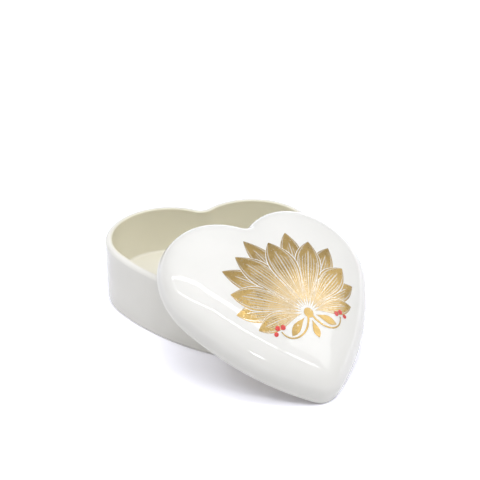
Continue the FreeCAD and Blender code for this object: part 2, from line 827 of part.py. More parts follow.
def winding_key():
    """Two-winged key screwed on the arbor's lower end."""
    top = s.skirt_depth - s.key_stand_off
    bottom = top - s.key_stem_length
    bore_end = top - s.key_stem_length / 2 - s.end_gap
    bore = s.arbor_radius + s.press_gap
    profile = [
        (ZERO, bottom), (s.key_stem_radius, bottom), (s.key_stem_radius, top),
        (bore, top), (bore, bore_end), (ZERO, bore_end),
    ]
    body = turned("winding_key", profile, BARREL_Y)
    wing_z = bottom - s.key_wing_radius / 2
    web = new_sketch(body, "key_web_outline", "XZ_Plane")
    half = s.key_stem_radius
    web_top = bottom + s.key_stem_radius / 2
    web_low = wing_z - s.key_wing_radius / 2
    reach = s.key_wing_offset
    draw_polygon(web, [(-reach, web_low), (reach, web_low), (half, web_top), (-half, web_top)])
    pad(body, "key_web", web, s.key_wing_thickness, midplane=True)
    for side, x in (("left", -reach), ("right", reach)):
        wing = new_sketch(body, f"{side}_wing_outline", "XZ_Plane")
        draw_circle(wing, x, wing_z, s.key_wing_radius)
        pad(body, f"{side}_wing", wing, s.key_wing_thickness, midplane=True)
    eyes = new_sketch(body, "key_eyes_outline", "XZ_Plane")
    for x in (-reach, reach):
        draw_circle(eyes, x, wing_z, s.key_eye_radius)
    pocket(body, "key_eyes", eyes, s.key_wing_thickness * 2, midplane=True)
    return body


def spring_drum():
    """Going barrel: the spring's drum with the crown teeth on its flange."""
    bore = s.core_radius + s.running_gap
    inner = s.drum_radius - s.drum_wall
    profile = [
        (bore, FLANGE_START), (FLANGE_RADIUS, FLANGE_START), (FLANGE_RADIUS, FLANGE_TOP),
        (s.drum_radius, FLANGE_TOP), (s.drum_radius, DRUM_TOP), (inner, DRUM_TOP),
        (inner, FLANGE_TOP), (bore, FLANGE_TOP),
    ]
    body = turned("spring_drum", profile, BARREL_Y)
    wide, narrow = tooth_half_widths(s.crown_module)
    low = FLANGE_TOP - s.flange_thickness / 2
    high = FLANGE_TOP + s.crown_module * (DEDENDUM + ADDENDUM)
    start = CROWN_RADIUS - s.crown_face / 2
    outline = new_sketch(body, "crown_tooth_outline", "YZ_Plane", start)
    draw_polygon(outline, [(-wide, low), (wide, low), (narrow, high), (-narrow, high)])
    tooth = pad(body, "crown_tooth", outline, s.crown_face)
    polar_copies(body, "crown_teeth_ring", tooth, s.crown_teeth)
    half_pitch = FreeCAD.Rotation(UP, 180 / s.crown_teeth.value + 90)
    body.Placement = FreeCAD.Placement(V(0, BARREL_Y.value, 0), half_pitch)
    return body


def drum_cap():
    inner = s.arbor_radius + s.running_gap
    return turned("drum_cap", tube_profile(inner, s.drum_radius, DRUM_TOP, CAP_TOP), BARREL_Y)


def half_turns(radius, pitch, count, thickness):
    """Half circles of a growing spiral, each joined to the next."""
    arcs = []
    for step in range(count):
        side = -1 if step % 2 == 0 else 1
        centre = V(side * pitch / 4, 0, 0)
        reach = radius + step * pitch / 2 + thickness
        first = centre + V(-side * reach, 0, 0)
        middle = centre + V(0, -side * reach, 0)
        last = centre + V(side * reach, 0, 0)
        arcs.append(Part.Arc(first, middle, last).toShape())
    return arcs


def mainspring():
    """Wound flat spring between the arbor's core and the drum's wall."""
    thickness = s.spring_thickness.value
    count = int(round(s.spring_turns.value * 2))
    room = s.drum_radius.value - s.drum_wall.value - s.core_radius.value
    room -= 2 * s.running_gap.value + thickness
    pitch = room / (count / 2 + 0.5)
    radius = s.core_radius.value + s.running_gap.value + thickness / 2 + pitch / 4
    outer = half_turns(radius, pitch, count, thickness / 2)
    inner = half_turns(radius, pitch, count, -thickness / 2)
    ends = []
    for index in (0, -1):
        spot = 0 if index == 0 else 1
        ends.append(Part.makeLine(outer[index].Vertexes[spot].Point, inner[index].Vertexes[spot].Point))
    strip = Part.Face(Part.Wire(Part.__sortEdges__(outer + inner + ends)))
    width = DRUM_TOP.value - FLANGE_TOP.value - 2 * s.end_gap.value
    spot = V(0, BARREL_Y.value, FLANGE_TOP.value + s.end_gap.value)
    return free_shape("mainspring", strip.extrude(UP * width), spot)


def cylinder_tube():
    inner = s.cylinder_radius - s.cylinder_wall
    outer = rod("tube_outer", (ZERO, CYLINDER_Y, AXIS_Z), s.cylinder_radius, s.cylinder_length, V(0, 1, 0))
    bore = rod("tube_inner", (ZERO, CYLINDER_Y, AXIS_Z), inner, s.cylinder_length, V(0, 1, 0))
    return cut("cylinder_tube", outer, [bore])


def cylinder_pins():
    """Tune pins set in rows opposite the comb's teeth."""
    pitch = COMB_WIDTH.value / s.comb_teeth.value
    rows = int(s.comb_teeth.value)
    golden = 360 * (math.sqrt(5) - 1) / 2
    length = s.cylinder_wall.value + s.pin_reach.value
    start = s.cylinder_radius.value - s.cylinder_wall.value
    pins = []
    for index in range(int(s.pin_count.value)):
        turn = FreeCAD.Rotation(V(0, 1, 0), index * golden)
        out = turn.multVec(V(1, 0, 0))
        y = COMB_Y.value + pitch * (index % rows + 0.5)
        foot = V(0, y, AXIS_Z.value) + out * start
        pins.append(Part.makeCylinder(s.pin_radius.value, length, foot, out))
    return free_shape("cylinder_pins", Part.makeCompound(pins), V())


def cylinder_ends():
    """End discs that carry the tube on its shaft."""
    discs = []
    for name, start in (("near", CYLINDER_Y), ("far", CYLINDER_END_Y - s.cylinder_end_thickness)):
        spot = (ZERO, start, AXIS_Z)
        radius = s.cylinder_radius - s.cylinder_wall - s.press_gap
        disc = rod(f"{name}_disc", spot, radius, s.cylinder_end_thickness, V(0, 1, 0))
        bore_radius = s.cylinder_shaft_radius + s.press_gap
        bore = rod(f"{name}_bore", spot, bore_radius, s.cylinder_end_thickness, V(0, 1, 0))
        discs.append(cut(f"{name}_end", disc, [bore]))
    return group("cylinder_ends", discs)


def shaft_along_y(label, x, start, end, radius):
    shaft = rod(label, (x, start, AXIS_Z), radius, end - start, V(0, 1, 0))
    shaft.Label = label
    return shaft


def cylinder_pinion():
    bore = s.cylinder_shaft_radius + s.press_gap
    gear = spur_gear("cylinder_pinion", s.pinion_teeth, s.crown_module, s.crown_face, bore)
    return along_y(gear, ZERO, PINION_Y, AXIS_Z, 90)


def cylinder_gear():
    bore = s.cylinder_shaft_radius + s.press_gap
    gear = spur_gear("cylinder_gear", s.gear_teeth, s.gear_module, s.gear_face, bore)
    return along_y(gear, ZERO, GEAR_Y, AXIS_Z)


def governor_pinion():
    bore = s.governor_shaft_radius + s.press_gap
    gear = spur_gear("governor_pinion", s.governor_teeth, s.gear_module, s.gear_face, bore)
    teeth = s.governor_teeth.value
    return along_y(gear, GOVERNOR_X, GEAR_Y, AXIS_Z, 180 + 180 / teeth)


def governor_wheel():
    bore = s.governor_shaft_radius + s.press_gap
    gear = spur_gear("governor_wheel", s.wheel_teeth, s.wheel_module, s.wheel_face, bore)
    return along_y(gear, GOVERNOR_X, WHEEL_Y - s.wheel_face / 2, AXIS_Z)


def worm_thread(start_angle, pitch, middle):
    """One thread of the worm, a helical ridge sunk a little into the core."""
    lead = pitch * WORM_STARTS
    wide, narrow = (size.value for size in tooth_half_widths(s.wheel_module))
    low = s.worm_core.value * (1 - THREAD_ROOT_SHARE)
    high = s.worm_radius.value
    height = s.worm_length.value
    helix = Part.makeHelix(lead, height, low)
    corners = [V(low, 0, -wide), V(high, 0, -narrow), V(high, 0, narrow), V(low, 0, wide), V(low, 0, -wide)]
    ridge = Part.Wire(helix.Edges).makePipeShell([Part.makePolygon(corners)], True, True)
    ridge.Placement = FreeCAD.Placement(V(0, 0, middle - height / 2), FreeCAD.Rotation(UP, start_angle))
    return ridge


def worm_shaft():
    """Upright worm with its pivots and the brake hub, cut as one piece."""
    pitch = math.pi * s.wheel_module.value
    pivot, core = s.worm_pivot_radius.value, s.worm_core.value
    low = BED_TOP.value + s.running_gap.value
    high = FRAME_TOP.value - s.running_gap.value
    tail = s.worm_pivot_length.value - s.running_gap.value
    axis_z = AXIS_Z.value
    shaft = Part.makeCylinder(core, high - low, V(0, 0, low))
    pins = Part.makeCylinder(pivot, high - low + 2 * tail, V(0, 0, low - tail))
    brake = Part.makeCylinder(s.brake_radius.value, s.brake_height.value, V(0, 0, BRAKE_Z.value))
    starts = [gap_angle() + 360 * n / WORM_STARTS for n in range(WORM_STARTS)]
    threads = [worm_thread(angle, pitch, axis_z) for angle in starts]
    solid = shaft.multiFuse([pins, brake] + threads).removeSplitter()
    return free_shape("worm_shaft", solid, V(WORM_X.value, WHEEL_Y.value, 0))


def gap_angle():
    """Start angle that leaves a gap of the worm facing the wheel's tooth."""
    lead = math.pi * s.wheel_module.value * WORM_STARTS
    passed = 360 * (s.worm_length.value / 2) / lead
    return 180 - passed + 180 / WORM_STARTS


def fan():
    """Two-bladed air brake on the worm's foot."""
    hub = rod("fan_hub", (WORM_X, WHEEL_Y, FAN_Z), s.fan_hub_radius, s.fan_height)
    half = s.fan_thickness / 2
    low = (WORM_X - s.fan_radius, WHEEL_Y - half, FAN_Z)
    high = (WORM_X + s.fan_radius, WHEEL_Y + half, FAN_Z + s.fan_height)
    blades = box("fan_blades", low, high)
    bore = rod("fan_bore", (WORM_X, WHEEL_Y, FAN_Z), s.worm_core + s.press_gap, s.fan_height)
    return cut("fan", fused("fan_blank", [hub, blades]), [bore])


def governor_frame():
    """Frame that carries the governor's shaft in two lugs and the worm under its roof."""
    wall = s.frame_thickness
    lug_half = s.governor_shaft_radius * 2
    lug_low = AXIS_Z - lug_half
    lug_high = AXIS_Z + lug_half
    lug_x = GOVERNOR_X - lug_half
    rear_end = REAR_LUG_Y + wall
    blanks = [
        box("frame_wall", (FRAME_X, FRONT_LUG_Y, BED_TOP), (FRAME_X + wall, rear_end, FRAME_TOP + wall)),
        box("front_lug", (lug_x, FRONT_LUG_Y, lug_low), (FRAME_X, FRONT_LUG_Y + wall, lug_high)),
        box("rear_lug", (lug_x, REAR_LUG_Y, lug_low), (FRAME_X, rear_end, lug_high)),
        box(
            "frame_roof",
            (WORM_X - s.worm_radius, WHEEL_Y - s.worm_radius, FRAME_TOP),
            (FRAME_X, WHEEL_Y + s.worm_radius, FRAME_TOP + wall),
        ),
        box("frame_foot", (FRAME_X + wall, FRONT_LUG_Y, BED_TOP), (FRAME_FOOT_X, rear_end, BED_TOP + wall)),
    ]
    bearing = s.governor_shaft_radius + s.running_gap
    pivot = s.worm_pivot_radius + s.running_gap
    length = rear_end - FRONT_LUG_Y
    bores = [
        rod("lug_bore", (GOVERNOR_X, FRONT_LUG_Y, AXIS_Z), bearing, length, V(0, 1, 0)),
        rod("roof_bore", (WORM_X, WHEEL_Y, FRAME_TOP), pivot, wall),
    ]
    for index, (x, y) in enumerate(FRAME_SPOTS):
        bores.append(rod(f"foot_bore_{index}", (x, y, BED_TOP), HOLE_RADIUS, wall))
    return cut("governor_frame", fused("frame_blank", blanks), bores)


def stop_post():
    """Shouldered post on which the stop lever turns."""
    slim, wide = s.stop_post_radius, s.stop_hub_radius
    shoulder = STOP_Z - s.running_gap
    top = STOP_Z + s.brake_height + s.end_gap
    profile = [
        (ZERO, PLATE_TOP), (slim, PLATE_TOP), (slim, BED_TOP), (wide, BED_TOP), (wide, shoulder),
        (slim, shoulder), (slim, top), (ZERO, top),
    ]
    body = turned("stop_post", profile, STOP_Y)
    bind(body, "Placement.Base.x", STOP_X)
    return body


def stop_lever():
    """Lever with a brake arm beside the worm's brake hub and a finger tab through the plate."""
    rest, _ = stop_angles()
    top = s.brake_height
    half = s.stop_arm_width / 2
    hub = rod("lever_hub", (ZERO, ZERO, ZERO), s.stop_hub_radius, top)
    arm = box("lever_arm", (ZERO, -half, ZERO), (s.stop_arm_length, half, top))
    brake = fused("lever_brake", [hub, arm])
    hang = STOP_Z - s.skirt_depth + s.stop_tab_drop
    tab_half = s.stop_tab_width / 2
    edge = s.stop_tab_reach - top / 2
    tail = box("lever_tail", (ZERO, -tab_half, ZERO), (s.stop_tab_reach, tab_half, top))
    tab = box("lever_tab", (edge, -tab_half, -hang), (edge + top, tab_half, top))
    handle = fused("lever_handle", [tail, tab])
    bore = rod("lever_bore", (ZERO, ZERO, ZERO), s.stop_post_radius + s.running_gap, top)
    for item, angle in ((brake, rest), (handle, s.stop_tab_angle.value)):
        item.Placement = FreeCAD.Placement(V(), FreeCAD.Rotation(UP, angle))
    lever = cut("stop_lever", fused("lever_blank", [brake, handle]), [bore])
    lever.Placement = FreeCAD.Placement(V(STOP_X.value, STOP_Y.value, STOP_Z.value), FreeCAD.Rotation())
    return lever


def lean_placement():
    """Where the lid rests: its plate against the base's rim and its edge on the table."""
    tilt = math.radians(s.lean_angle.value)
    course = math.radians(s.lean_heading.value)
    level = V(-math.sin(course), math.cos(course), 0)
    turn = FreeCAD.Rotation(level, s.lean_angle.value) * FreeCAD.Rotation(UP, s.lid_turn.value)
    normal = turn.multVec(UP)
    downhill = V(math.cos(course) * math.cos(tilt), math.sin(course) * math.cos(tilt), -math.sin(tilt))
    rounding = s.rim_round.value
    rim = Heart(-s.rim_round).points(s.base_height.value - rounding)
    support = max(spot.dot(normal) for spot in rim) + rounding
    out = support + s.lean_gap.value - s.skirt_depth.value
    edge_round = s.skirt_round.value
    edge = Heart(SKIRT_OFFSET - s.skirt_round).points(edge_round)
    lowest = min(turn.multVec(spot).z for spot in edge) - edge_round
    down = (lowest + out * normal.z) / -downhill.z
    return FreeCAD.Placement(normal * out + downhill * down + level * s.lean_shift.value, turn)


def lid_pieces():
    plate_screw = s.plate_thickness + s.bed_thickness
    bed_screw = s.bed_thickness
    return [
        lid_shell(),
        closing_plate(),
        bedplate(),
        screws("mounting_screws", MOUNT_SPOTS, s.skirt_depth, plate_screw, up=-1),
        arbor_bush(),
        wrap_spring(),
        bracket("front_bracket", FRONT_BRACKET_Y),
        bracket("rear_bracket", REAR_BRACKET_Y),
        screws(
            "bracket_screws", BRACKET_SPOTS, BED_TOP + s.bracket_foot_height,
            s.bracket_foot_height + bed_screw,
        ),
        comb(),
        screws("comb_screws", COMB_SPOTS, COMB_Z + s.comb_thickness, s.comb_thickness + s.comb_screw_depth),
        governor_frame(),
        screws("governor_screws", FRAME_SPOTS, BED_TOP + s.frame_thickness, s.frame_thickness + bed_screw),
        stop_post(),
        winding_key(),
        winding_arbor(),
        retaining_clip(),
        spring_drum(),
        drum_cap(),
        mainspring(),
        cylinder_tube(),
        cylinder_pins(),
        cylinder_ends(),
        shaft_along_y("cylinder_arbor", ZERO, PINION_Y, SHAFT_END_Y, s.cylinder_shaft_radius),
        cylinder_pinion(),
        cylinder_gear(),
        governor_wheel(),
        governor_pinion(),
        shaft_along_y(
            "governor_arbor", GOVERNOR_X, FRONT_LUG_Y, REAR_LUG_Y + s.frame_thickness,
            s.governor_shaft_radius,
        ),
        worm_shaft(),
        fan(),
        stop_lever(),
    ]


def lean(pieces):
    """Carry every piece of the lid to the leaning rest."""
    document.recompute()
    rest = lean_placement()
    for piece in pieces:
        for prop, _ in list(piece.ExpressionEngine):
            if prop.lstrip(".").startswith("Placement"):
                piece.setExpression(prop, None)
        piece.Placement = rest * piece.Placement
    document.recompute()
    return rest


def check(nodes):
    for item in document.Objects:
        if "Invalid" in item.State or "Error" in item.State:
            raise ValueError(f"{item.Label} failed: {item.State}")
    for node in nodes:
        if node.Shape.isNull() or not node.Shape.isValid():
            raise ValueError(f"{node.Label} has no valid shape")


def print_spots(rest):
    """Joint lines and key levels after the lean, for the record."""
    rest_angle, held_angle = stop_angles()
    spots = {
        "barrel": V(0, BARREL_Y.value, FLANGE_START.value),
        "cylinder": V(0, CYLINDER_Y.value, AXIS_Z.value),
        "governor": V(GOVERNOR_X.value, WHEEL_Y.value, AXIS_Z.value),
        "worm": V(WORM_X.value, WHEEL_Y.value, AXIS_Z.value),
        "stop": V(STOP_X.value, STOP_Y.value, STOP_Z.value),
        "lid": V(),
    }
    for name, spot in spots.items():
        place = rest.multVec(spot)
        print(f"spot {name} {place.x:.5f} {place.y:.5f} {place.z:.5f}")
    for name, axis in (("along_y", V(0, 1, 0)), ("up", UP)):
        way = rest.Rotation.multVec(axis)
        print(f"axis {name} {way.x:.7f} {way.y:.7f} {way.z:.7f}")
    print(f"stop swing {held_angle - rest_angle:.4f} degrees")


def main():
    base = base_bowl()
    pieces = lid_pieces()
    rest = lean(pieces)
    nodes = [base] + pieces
    check(nodes)
    os.makedirs("parts", exist_ok=True)
    for node in nodes:
        node.Shape.exportStep(f"parts/{node.Label}.step")
        print(f"{node.Label}: {len(node.Shape.Solids)} solids, {node.Shape.Volume:.2f} mm3")
    print_spots(rest)


main()
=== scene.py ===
import json
import math

import bmesh
import bpy
from bpy.props import FloatProperty, FloatVectorProperty, PointerProperty
from mathutils import Matrix, Vector
from mathutils.kdtree import KDTree


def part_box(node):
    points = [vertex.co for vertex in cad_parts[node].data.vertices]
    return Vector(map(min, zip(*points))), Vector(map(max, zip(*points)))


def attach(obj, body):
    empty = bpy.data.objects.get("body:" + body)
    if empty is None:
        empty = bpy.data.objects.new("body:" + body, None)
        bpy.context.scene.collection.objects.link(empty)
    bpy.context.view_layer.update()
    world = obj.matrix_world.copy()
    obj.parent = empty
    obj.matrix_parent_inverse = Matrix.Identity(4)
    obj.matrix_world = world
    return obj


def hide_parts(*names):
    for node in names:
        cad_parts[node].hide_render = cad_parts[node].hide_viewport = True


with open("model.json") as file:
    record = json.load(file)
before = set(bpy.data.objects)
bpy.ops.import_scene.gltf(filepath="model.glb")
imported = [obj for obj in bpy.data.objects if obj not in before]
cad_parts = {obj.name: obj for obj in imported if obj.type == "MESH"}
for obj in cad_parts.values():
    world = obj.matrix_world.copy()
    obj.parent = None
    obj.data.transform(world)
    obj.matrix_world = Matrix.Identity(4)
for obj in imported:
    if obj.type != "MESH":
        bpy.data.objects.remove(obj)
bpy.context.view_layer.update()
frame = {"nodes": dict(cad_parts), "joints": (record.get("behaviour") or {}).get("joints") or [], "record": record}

bl_info = {
    "name": "Heart Music Box",
    "version": (1, 0, 0),
    "blender": (4, 5, 0),
    "location": "3D View > Sidebar > Music Box",
    "description": "Builds the looks of a heart-shaped porcelain music box round its frame",
    "category": "Object",
}

MM = 0.001
# How many points each arc of the heart outline gets: lobe, notch, side, point
LOBE_STEPS = 96
NOTCH_STEPS = 24
SIDE_STEPS = 60
POINT_STEPS = 36
# How many rings a dome has, and steps across a rounding and across a broken edge
DOME_RINGS = 44
ROUND_STEPS = 6
EDGE_STEPS = 3
# Where the spring drum's line crosses the drum's foot, in the lid's own frame
DRUM_FOOT = Vector((0, -28, 8.2)) * MM
# Petals of the gilt lotus, back layer first: turn from its axis in degrees, length and width in mm, and bend
PETAL_LAYERS = (
    ("petals_back", ((14, 47, 14.5, 0.03), (42, 45, 14, 0.06), (70, 35, 12.5, 0.10))),
    ("petals_middle", ((28, 43, 16, 0.05), (56, 38, 14.5, 0.08), (86, 26, 10.5, 0.12))),
    ("petals_front", ((0, 41, 18, 0),)),
)
PETAL_ACROSS = 16
PETAL_ALONG = 44
# Powers that set how far out a petal is widest and how soft its point is
PETAL_SWELL = 1.5
PETAL_POINT = 0.9
# Fine veins on each side of a petal's middle
VEINS = 5
# Tendrils under the lotus: points of a curve from the root outwards in mm
TENDRIL = ((1, -34), (5, -46), (17, -46), (19, -38.5))
TENDRIL_STEPS = 40
TENDRIL_TAPER = 0.5
# Leaf beside each tendril, and the stem, in the same terms as a petal
TENDRIL_LEAF = (118, 13, 4.5, 0.1)
STEM = (180, 10, 4, 0)
# Berries at each tendril's end: place and radius in mm
BERRIES = ((17.4, -36.6, 1.35), (20.4, -36.2, 1.35), (22.2, -38.8, 1.2))
SPOT_SIDES = 20
# Widths of the rings inside a round spot, as shares of its radius
SPOT_RINGS = (0.4, 0.35)
# Soft boxes round the table: azimuth and height in degrees, size in m, radiance, and if the gloss shows it
SOFT_BOXES = (
    ("right_box", 97, 37, (0.8, 0.5), 1.8, True),
    ("left_box", -95, 35, (0.7, 0.7), 1.15, False),
    ("top_box", 30, 85, (0.5, 0.5), 0.9, False),
    ("back_box", 0, 45, (0.7, 0.7), 0.4, False),
    ("front_box", 170, 62, (0.7, 0.7), 1.85, False),
)
# Strip lamps, overhead and low in front, that draw the highlights: both ends in m, width in m and radiance
STRIPS = (
    ("near_strip_right", (0.58, -0.92, 1.05), (0.04, -0.61, 1.05), 0.047, 8.5),
    ("near_strip_left", (0.04, -0.61, 1.05), (-0.70, -0.32, 1.05), 0.047, 8.5),
    ("near_strip_end", (1.0, -1.16, 1.05), (0.66, -0.95, 1.05), 0.06, 9),
    ("far_strip_right", (0.55, -0.55, 1.05), (0.06, -0.12, 1.05), 0.07, 8),
    ("far_strip_left", (0.06, -0.12, 1.05), (-0.75, 0.12, 1.05), 0.07, 8),
    ("side_strip", (-0.75, 0.12, 1.05), (-0.75, -0.36, 1.05), 0.045, 9),
    ("low_strip", (-0.06, -1.03, 0.41), (0.035, -1.05, 0.385), 0.07, 17),
)
# Point that the lamps face, in m
LAMP_AIM = Vector((0, -0.09, 0.05))
SENSOR_WIDTH = 36
GLAZE_IOR = 1.52
# How near in m points lie level with each other, and are merged
LEVEL_TOLERANCE = 1e-6
MERGE_DISTANCE = 1e-7
# Turn of an edge above which it is rounded, above which it is shaded sharp and below which it is dissolved
CORNER_ANGLE = math.radians(40)
SMOOTH_ANGLE = math.radians(35)
FLAT_ANGLE = math.radians(0.5)
# How strongly large faces hold the normals, on the porcelain and on the pieces with broken edges
PORCELAIN_WEIGHT = 80
EDGED_WEIGHT = 60
# Pieces under the lid: node, name, body that carries it and width of its broken edges in mm
UNDERSIDE = (
    ("closing_plate", "plate_body", "lid", 0.3),
    ("mounting_screws", "plate_screws", "lid", 0.12),
    ("winding_key", "key_body", "winding", 0.35),
    ("stop_lever", "lever_body", "stop", 0.15),
)
# How far a finish's tool lines are drawn out along the lid's axes
TURNED = (40, 40, 1)
DRAWN = (1, 40, 40)
CAST = (1, 1, 1)
FLOWED = (1, 4, 1)
# Sockets of a mix node that take and give colours
MIX_FIRST, MIX_SECOND, MIX_RESULT = 6, 7, 2


def length(name, description, millimetres):
    """A length property whose default is given in millimetres."""
    return FloatProperty(
        name=name, description=description, default=millimetres * MM, precision=5, unit="LENGTH",
    )


def tint(name, description, colour):
    """A colour property."""
    return FloatVectorProperty(
        name=name, description=description, default=colour, size=3, subtype="COLOR", min=0, max=1,
    )


def portion(name, description, value):
    """A property between none and all."""
    return FloatProperty(name=name, description=description, default=value, min=0, max=1, subtype="FACTOR")


class HeartOutline(bpy.types.PropertyGroup):
    """Arcs of the heart in plan"""

    lobe_offset: length("Lobe offset", "From the heart's axis to a lobe's centre", 24.75)
    lobe_radius: length("Lobe radius", "Radius of a lobe", 35.25)
    notch_radius: length("Notch radius", "Radius of the notch between the lobes", 5.4)
    point_radius: length("Point radius", "Radius of the heart's point", 12.4)
    side_radius: length("Side radius", "Radius of the long side arcs", 139)
    point_reach: length("Point reach", "From the line of the lobes to the point's centre", 59.5)


class BowlSizes(bpy.types.PropertyGroup):
    """Section of the base bowl and the run of its cream tint, partly glaze tone and partly painted shade"""

    height: length("Height", "Height of the rim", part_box("base_bowl")[1].z / MM)
    wall: length("Wall", "Thickness of the wall", 4)
    floor_height: length("Floor", "Height of the inner floor", 9)
    foot_depth: length("Foot depth", "Depth of the recess under the floor", 4.2)
    foot_width: length("Foot width", "Width of the foot ring", 4.5)
    rim_round: length("Rim rounding", "Radius of the rim's outer edge", 2.2)
    lip_round: length("Lip rounding", "Radius of the rim's inner edge", 0.9)
    floor_round: length("Floor rounding", "Radius between floor and wall", 1.5)
    foot_round: length("Foot rounding", "Radius of the foot ring's edges", 1.5)
    support: length("Support loop", "Inset that keeps flat faces flat beside a rounding", 0.5)
    # The cream tint runs out over the rim's top as painted shade
    tint_reach: length("Glaze reach", "From the wall's inner face out to where the cream begins", 1.7)
    tint_fade: length("Glaze fade", "Width over which the two glazes run together on the rim", 1.6)
    # Shares of the cream tint, part glaze tone and part painted shade: less at the wall's foot and on the floor
    # paints them lighter
    wall_cream_and_shade: portion("Wall cream", "Share of the cream tint at the foot of the wall", 0.8)
    floor_cream_and_shade: portion("Floor cream", "Share of the cream tint on the floor, where it lies thin", 0.4)


class LidSizes(bpy.types.PropertyGroup):
    """Section of the domed lid"""

    skirt_gap: length("Skirt gap", "Play between the skirt and the base", 0.3)
    skirt_wall: length("Skirt wall", "Thickness of the skirt", 2.2)
    skirt_depth: length("Skirt depth", "Depth of the rebate over the base's rim", 3)
    skirt_round: length("Skirt rounding", "Radius of the skirt's edges", 0.8)
    bead: length("Bead", "How far the glaze gathers out along the skirt's lower edge", 0.3)
    bead_height: length("Bead height", "Height at which the bead begins", 1.5)
    ledge_width: length("Ledge width", "Width of the ledge under the closing plate", 2)
    plate_seat: length("Plate seat", "Depth of the seat that takes the closing plate", 2)
    height: length("Height", "Height of the crown", 23.1)
    shell_wall: length("Shell wall", "Thickness of the dome", 3)
    dome_centre: length("Crown setback", "From the line of the lobes back to the crown", 12)
    valley_fade: length("Valley fade", "Radius that the notch opens to at the crown", 50)
    valley_power: FloatProperty(name="Valley power", description="How soon the notch opens", default=0.7)
    plan_power: FloatProperty(name="Plan power", description="Fullness of the dome in plan", default=1.80)
    rise_power: FloatProperty(name="Rise power", description="Fullness of the dome in height", default=3.0)
    tuck: length("Tuck", "How far the skin lies inside the solid", 0.02)


class GiltLotus(bpy.types.PropertyGroup):
    """Gilt lotus on the dome"""

    root: length("Root", "From the line of the lobes back to the lotus's root", 33)
    start: length("Petal start", "From the root to where the petals begin", 4)
    boss: length("Boss radius", "Radius of the round boss at the root", 2.8)
    ribbon: length("Ribbon width", "Width of the tendrils at their root", 1.2)
    relief: length("Relief", "Thickness of the gilding", 0.04)


class Finishes(bpy.types.PropertyGroup):
    """Colours of the finishes, and how dull some of them are"""

    lid_glaze: tint("Lid glaze", "White glaze of the lid", (0.86, 0.855, 0.835))
    base_glaze: tint("Base glaze", "Ivory glaze outside the base", (0.905, 0.895, 0.86))
    # Cream inside the bowl: partly the glaze's own warm tone, partly painted shade and painted bounced light
    bowl_cream_and_shade: tint("Bowl glaze", "Cream glaze inside the base", (0.765, 0.73, 0.575))
    bowl_dullness: portion("Bowl dullness", "Roughness that the cream glaze adds", 0.36)
    bisque: tint("Bisque", "Bare ground porcelain", (0.72, 0.68, 0.60))
    bisque_dullness: portion("Bisque dullness", "Roughness of the bare porcelain", 0.65)
    pinhole: tint("Pinhole", "Faint dark pinholes in the glaze", (0.45, 0.40, 0.33))
    gold: tint("Gold", "Burnished gilding", (0.43, 0.30, 0.117))
    berry: tint("Berry", "Red enamel of the berries", (0.82, 0.08, 0.075))
    plate: tint("Plate", "Ivory plastic of the closing plate", (0.80, 0.76, 0.66))
    brass: tint("Brass", "Satin brass", (0.72, 0.54, 0.26))
    brass_tarnish: tint("Brass tarnish", "Brown clouds on the brass", (0.50, 0.34, 0.15))
    zinc: tint("Zinc", "Die-cast zinc", (0.52, 0.52, 0.53))
    nickel: tint("Nickel", "Nickel plating", (0.70, 0.68, 0.64))
    spring_steel: tint("Spring steel", "Blued spring steel", (0.20, 0.24, 0.32))
    steel_tarnish: tint("Steel tarnish", "Straw clouds on the blued steel", (0.30, 0.27, 0.30))
    steel: tint("Steel", "Plain steel", (0.55, 0.55, 0.56))
    nylon: tint("Nylon", "Moulded nylon", (0.82, 0.80, 0.74))
    dust: tint("Dust", "Dust in the low spots of the plastics", (0.42, 0.39, 0.33))
    floor: tint("Floor", "Plain pale floor", (0.70, 0.695, 0.68))
    floor_lift: tint("Floor lift", "How much paler the floor is where a lens sees it", (0.69, 0.70, 0.85))


class Studio(bpy.types.PropertyGroup):
    """Camera and lamps"""

    camera_place: FloatVectorProperty(
        name="Camera place", description="Where the camera stands", default=(-0.09995, -0.57013, 0.37554),
        subtype="TRANSLATION", precision=5,
    )
    camera_target: FloatVectorProperty(
        name="Camera target", description="Point at the middle of the picture", default=(0.02748, 0.04952, 0),
        subtype="TRANSLATION", precision=5,
    )
    camera_lens: FloatProperty(
        name="Lens", description="Focal length on a 36 mm sensor", default=87.84, unit="CAMERA",
    )
    floor_size: length("Floor size", "Width of the floor", 6000)
    sky_strength: FloatProperty(name="Sky", description="Strength of the light from all round", default=0.2)
    sky_colour: tint("Sky colour", "Colour of the light from all round", (0.985, 0.99, 1.0))
    lamp_distance: length("Lamp distance", "From the box to the soft boxes", 1000)


class MusicBoxSettings(bpy.types.PropertyGroup):
    """All that a user would change"""

    heart: PointerProperty(type=HeartOutline)
    bowl: PointerProperty(type=BowlSizes)
    lid: PointerProperty(type=LidSizes)
    lotus: PointerProperty(type=GiltLotus)
    finishes: PointerProperty(type=Finishes)
    studio: PointerProperty(type=Studio)


def settings():
    return bpy.context.scene.music_box


def heading(vector):
    return math.atan2(vector.y, vector.x)


def arc(centre, radius, start, end, steps):
    """Points along an arc, without its last one."""
    spots = []
    for step in range(steps):
        angle = start + (end - start) * step / steps
        spots.append(centre + Vector((math.cos(angle), math.sin(angle))) * radius)
    return spots


def far_meeting(first, first_radius, second, second_radius):
    """Where two circles cross, on the right of the way from the first centre to the second."""
    gap = second - first
    along = (first_radius**2 - second_radius**2 + gap.length_squared) / (2 * gap.length)
    across = math.sqrt(first_radius**2 - along**2)
    way = gap.normalized()
    return first + way * along + Vector((way.y, -way.x)) * across


